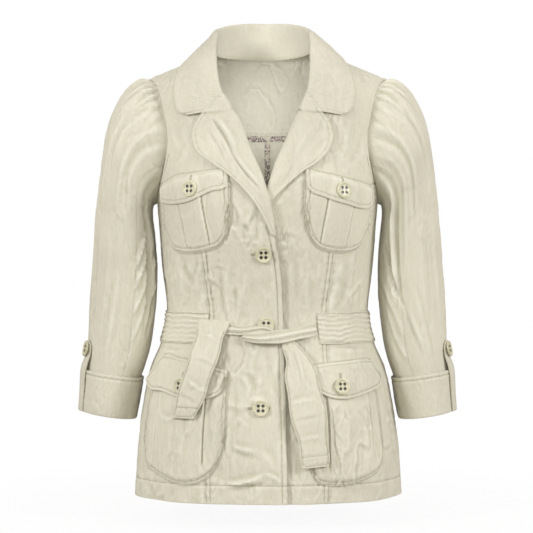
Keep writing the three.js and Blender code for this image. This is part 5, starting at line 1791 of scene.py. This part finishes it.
def button_thread():
    """Two bars of thread between the holes, with their ends going down."""
    frames = []
    for side in (-1, 1):
        for shift in (-0.3, 0.3):
            frames.append([[side * 3 + shift, 0, 1.6], [0, 1, 0], [0, 0, 1]])
    return np.array(frames, float)


def place_of(node):
    """Where a CAD button sits: the middle of its back and its turn, out of its own mesh."""
    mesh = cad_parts[node].data
    points = np.array([vertex.co[:] for vertex in mesh.vertices])
    middle = (points.min(0) + points.max(0)) / 2
    spread = np.linalg.svd(points - points.mean(0), full_matrices=False)[2]
    facing = spread[2]
    outward = middle - np.array([0, 0, middle[2]])
    facing = facing if facing @ outward > 0 else -facing
    back = middle - facing * ((points - middle) @ facing).max()
    up = unit(np.array([0, 0, 1.0]) - facing * facing[2])
    turn = Matrix(np.column_stack([np.cross(up, facing), up, facing]).tolist())
    return Matrix.Translation(Vector(back)) @ turn.to_4x4()


def add_buttons():
    model = button_body()
    threads = []
    for node in [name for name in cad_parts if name.startswith("button_")]:
        matrix = place_of(node)
        mesh = model.data.copy()
        mesh.transform(matrix)
        dress(add_piece(f"turned_{node}", mesh), "button", node)
        turn = np.array(matrix.to_3x3())
        base = np.array(matrix.translation) / MM
        frames = button_thread()
        for frame_of in frames:
            threads.append([base + turn @ frame_of[0], turn @ frame_of[1], turn @ frame_of[2]])
    bpy.data.objects.remove(model)
    stitch_mesh("button_threads", np.array(threads), 3.4, 0.45)


# Topstitching
def topstitch(name, kinds):
    """Sews every line of the named kinds of piece in one mesh."""
    lines = []
    for node in shells:
        if any(node.startswith(kind) for kind in kinds):
            lines += [inset(node, side, offset, trim) for side, offset, *trim in seams_of(node)]
    sew(name, lines)


def hole_frames():
    """Buttonholes: upright under the flap buttons' tops, level on the front."""
    frames = []
    for node, reach in (("button_front_top", 13), ("button_front_waist", 12), ("button_front_low", 13)):
        middle = np.array(place_of(node).translation) / MM
        frames.append(buttonhole("front_right", middle + (-2.5, 0, 0), (1, 0, 0), 2 * reach + 2))
    for kind in ("chest", "hip"):
        for hand in HANDS:
            middle = np.array(place_of(f"button_{kind}_{hand}").translation) / MM
            frames.append(buttonhole(f"{kind}_flap_{hand}", middle + (0, 0, 7), (0, 0, 1), 24))
    for hand in HANDS:
        middle = np.array(place_of(f"button_tab_{hand}").translation) / MM
        frames.append(buttonhole(f"tab_{hand}", middle + (0, 0, -8), (0, 0, 1), 20))
    return np.concatenate(frames)


# Settings
class JacketSizes(bpy.types.PropertyGroup):
    """Sizes that a user may change."""

    cloth: bpy.props.FloatProperty(
        name="Cloth", description="Thickness of the cloth", default=0.0013, unit="LENGTH")
    mesh_step: bpy.props.FloatProperty(
        name="Mesh step", description="Distance between the points of a sheet", default=0.0028, unit="LENGTH")
    crumple: bpy.props.FloatProperty(
        name="Crumple", description="Depth of the crushed texture", default=1.35, subtype="FACTOR")
    creases: bpy.props.FloatProperty(
        name="Creases", description="Depth of the placed creases", default=1.6, subtype="FACTOR")
    stitch_pitch: bpy.props.FloatProperty(
        name="Stitch pitch", description="Distance from stitch to stitch", default=0.0033, unit="LENGTH")
    stitch_length: bpy.props.FloatProperty(
        name="Stitch length", description="Length of a stitch on the cloth", default=0.0026, unit="LENGTH")
    thread: bpy.props.FloatProperty(
        name="Thread", description="Thickness of the sewing thread", default=0.0008, unit="LENGTH")


def colour_property(name, description, default):
    return bpy.props.FloatVectorProperty(
        name=name, description=description, default=default, subtype="COLOR", min=0, max=1)


class JacketColours(bpy.types.PropertyGroup):
    """Colours that a user may change."""

    linen: colour_property("Linen", "Colour of the cloth", (0.77, 0.752, 0.652))
    # The thread's own tone, darkened well below the cloth's as painted shade along the stitch lines
    thread: colour_property("Thread", "Colour of the topstitching", (0.40, 0.355, 0.25))
    button: colour_property("Button", "Colour of the buttons", (0.69, 0.66, 0.485))
    # Near-black painted shade down in a button's holes
    button_hole: colour_property("Button hole", "Colour down in a button's holes", (0.05, 0.045, 0.03))
    print_ground: colour_property("Print ground", "Ground of the binding print", (0.70, 0.65, 0.57))
    print_dark: colour_property("Print dark", "Darker specks of the binding print", (0.12, 0.105, 0.11))
    print_warm: colour_property("Print warm", "Warmer specks of the binding print", (0.30, 0.225, 0.24))
    floor: colour_property("Floor", "Colour of the studio floor", (0.93, 0.93, 0.93))


# Operators
class JACKET_OT_body(bpy.types.Operator):
    """Lays the fronts, side fronts, backs and yoke"""

    bl_idname = "jacket.body"
    bl_label = "Body panels"

    def execute(self, context):
        for hand in HANDS:
            add_front(hand)
            add_side_front(hand)
            add_back(hand)
        add_yoke()
        return {"FINISHED"}


class JACKET_OT_bindings(bpy.types.Operator):
    """Binds the yoke and back seams inside"""

    bl_idname = "jacket.bindings"
    bl_label = "Seam bindings"

    def execute(self, context):
        add_bindings()
        return {"FINISHED"}


class JACKET_OT_collar(bpy.types.Operator):
    """Rolls the lapels and the collar"""

    bl_idname = "jacket.collar"
    bl_label = "Lapels and collar"

    def execute(self, context):
        add_collar()
        for hand in HANDS:
            add_lapel(hand)
        return {"FINISHED"}


class JACKET_OT_sleeves(bpy.types.Operator):
    """Sets in the sleeves, with their cuffs and tabs"""

    bl_idname = "jacket.sleeves"
    bl_label = "Sleeves, cuffs and tabs"

    def execute(self, context):
        for hand in HANDS:
            add_sleeve(hand)
            add_cuff(hand)
            add_tab(hand)
        return {"FINISHED"}


class JACKET_OT_pockets(bpy.types.Operator):
    """Lays on the pockets and their flaps"""

    bl_idname = "jacket.pockets"
    bl_label = "Pockets and flaps"

    def execute(self, context):
        for hand in HANDS:
            add_chest_pocket(hand)
            add_hip_pocket(hand)
            add_flap("chest", hand)
            add_flap("hip", hand)
        return {"FINISHED"}


class JACKET_OT_waist(bpy.types.Operator):
    """Gathers the waist casing and lays the tie"""

    bl_idname = "jacket.waist"
    bl_label = "Casing and tie"

    def execute(self, context):
        add_casings()
        for name in TIE:
            add_tie(name)
        return {"FINISHED"}


class JACKET_OT_buttons(bpy.types.Operator):
    """Turns the buttons and sews them on"""

    bl_idname = "jacket.buttons"
    bl_label = "Buttons"

    def execute(self, context):
        add_buttons()
        return {"FINISHED"}


class JACKET_OT_stitches(bpy.types.Operator):
    """Topstitches the seams and works the buttonholes"""

    bl_idname = "jacket.stitches"
    bl_label = "Stitching"

    def execute(self, context):
        topstitch("stitches_body", ("front", "side_front", "back"))
        topstitch("stitches_collar", ("lapel", "collar"))
        topstitch("stitches_sleeves", ("cuff", "tab"))
        topstitch("stitches_pockets", ("chest", "hip"))
        topstitch("stitches_waist", ("casing", "tie"))
        stitch_mesh("buttonholes", hole_frames(), 1.5, 0.5)
        return {"FINISHED"}


class JACKET_OT_stage(bpy.types.Operator):
    """Sets the floor, the lights and the camera"""

    bl_idname = "jacket.stage"
    bl_label = "Stage"

    def execute(self, context):
        add_floor()
        add_lights()
        add_camera()
        return {"FINISHED"}


# How far from the origin the camera stands, in metres
CAMERA_AWAY = 2.3
CAMERA_LEVEL = -0.295
CAMERA_SIDE = -0.00145
FIELD_WIDTH = 0.77285
FLOOR_DROP = 0.035


def add_floor():
    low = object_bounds()[0]
    bpy.ops.object.select_all(action="DESELECT")
    bpy.ops.mesh.primitive_plane_add(size=6, location=(0, 0, low[2] - FLOOR_DROP))
    floor = bpy.context.active_object
    floor.name = "studio_floor"
    floor.data.materials.append(material("floor"))
    floor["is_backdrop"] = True


# Name, place, point aimed at, size, power and spread in degrees of each lamp. The inner one
# stands for the light that the photographer throws into the neck.
LIGHTS = (
    ("key", (-2.1, -1.6, 0.75), (0, 0, -0.3), 0.6, 36, 180),
    ("fill", (2.2, -1.5, 0.55), (0, 0, -0.3), 0.8, 34.5, 180),
    ("front", (0, -3.1, 0.45), (0, 0, -0.25), 1.6, 17, 180),
    ("top", (0.1, -0.5, 1.9), (0, 0, -0.3), 1.0, 4, 180),
    ("back", (0.3, 2.4, 0.9), (0, 0, -0.3), 1.8, 14, 180),
    ("neck", (-0.005, -0.075, -0.125), (-0.005, 0.1, -0.055), 0.1, 0.052, 72),
)


# The room's light is warmed, as by the cloth's own folds, and only the camera sees it white
ROOM_LIGHT = (1.0, 0.93, 0.79)


def add_lights():
    for name, place, target, size, power, spread in LIGHTS:
        bpy.ops.object.light_add(type="AREA", location=place)
        lamp = bpy.context.active_object
        lamp.name = f"light_{name}"
        lamp.data.size = size
        lamp.data.energy = power
        lamp.data.spread = math.radians(spread)
        lamp.visible_camera = False
        lamp.rotation_mode = "QUATERNION"
        lamp.rotation_quaternion = (Vector(target) - lamp.location).to_track_quat("-Z", "Y")
    world = bpy.data.worlds.new("studio")
    world.use_nodes = True
    bpy.context.scene.world = world
    web = Web(world.node_tree)
    shown = web.add("ShaderNodeLightPath").outputs["Is Camera Ray"]
    strength = web.add("ShaderNodeMapRange", {"Value": shown, "To Min": 0.42, "To Max": 1.0}).outputs[0]
    background = world.node_tree.nodes["Background"]
    tint = web.mix(shown, (*ROOM_LIGHT, 1.0), (1, 1, 1, 1))
    web.tree.links.new(tint, background.inputs["Color"])
    web.tree.links.new(strength, background.inputs["Strength"])
    bpy.context.scene.view_settings.view_transform = "Standard"


def add_camera():
    data = bpy.data.cameras.new("camera")
    data.sensor_width = 36
    data.lens = 36 * CAMERA_AWAY / FIELD_WIDTH
    camera = bpy.data.objects.new("camera", data)
    bpy.context.collection.objects.link(camera)
    camera.location = (CAMERA_SIDE, -CAMERA_AWAY, CAMERA_LEVEL)
    camera.rotation_euler = (QUARTER, 0, 0)
    bpy.context.scene.camera = camera


STEPS = ("stage", "body", "bindings", "collar", "sleeves", "pockets", "waist", "buttons", "stitches")


class JACKET_PT_panel(bpy.types.Panel):
    """The jacket's settings and steps, in the sidebar"""

    bl_label = "Jacket"
    bl_idname = "JACKET_PT_panel"
    bl_space_type = "VIEW_3D"
    bl_region_type = "UI"
    bl_category = "Jacket"

    def draw(self, context):
        for group in (context.scene.jacket_sizes, context.scene.jacket_colours):
            for key in group.__annotations__:
                self.layout.prop(group, key)
        for step in STEPS:
            self.layout.operator(f"jacket.{step}")


CLASSES = (
    JacketSizes, JacketColours, JACKET_OT_body, JACKET_OT_bindings, JACKET_OT_collar, JACKET_OT_sleeves,
    JACKET_OT_pockets, JACKET_OT_waist, JACKET_OT_buttons, JACKET_OT_stitches, JACKET_OT_stage,
    JACKET_PT_panel,
)


def register():
    for kind in CLASSES:
        bpy.utils.register_class(kind)
    bpy.types.Scene.jacket_sizes = bpy.props.PointerProperty(type=JacketSizes)
    bpy.types.Scene.jacket_colours = bpy.props.PointerProperty(type=JacketColours)


def unregister():
    del bpy.types.Scene.jacket_colours
    del bpy.types.Scene.jacket_sizes
    for kind in reversed(CLASSES):
        bpy.utils.unregister_class(kind)


def main():
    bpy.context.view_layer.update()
    register()
    for step in STEPS:
        getattr(bpy.ops.jacket, step)()


if __name__ == "__main__":
    main()
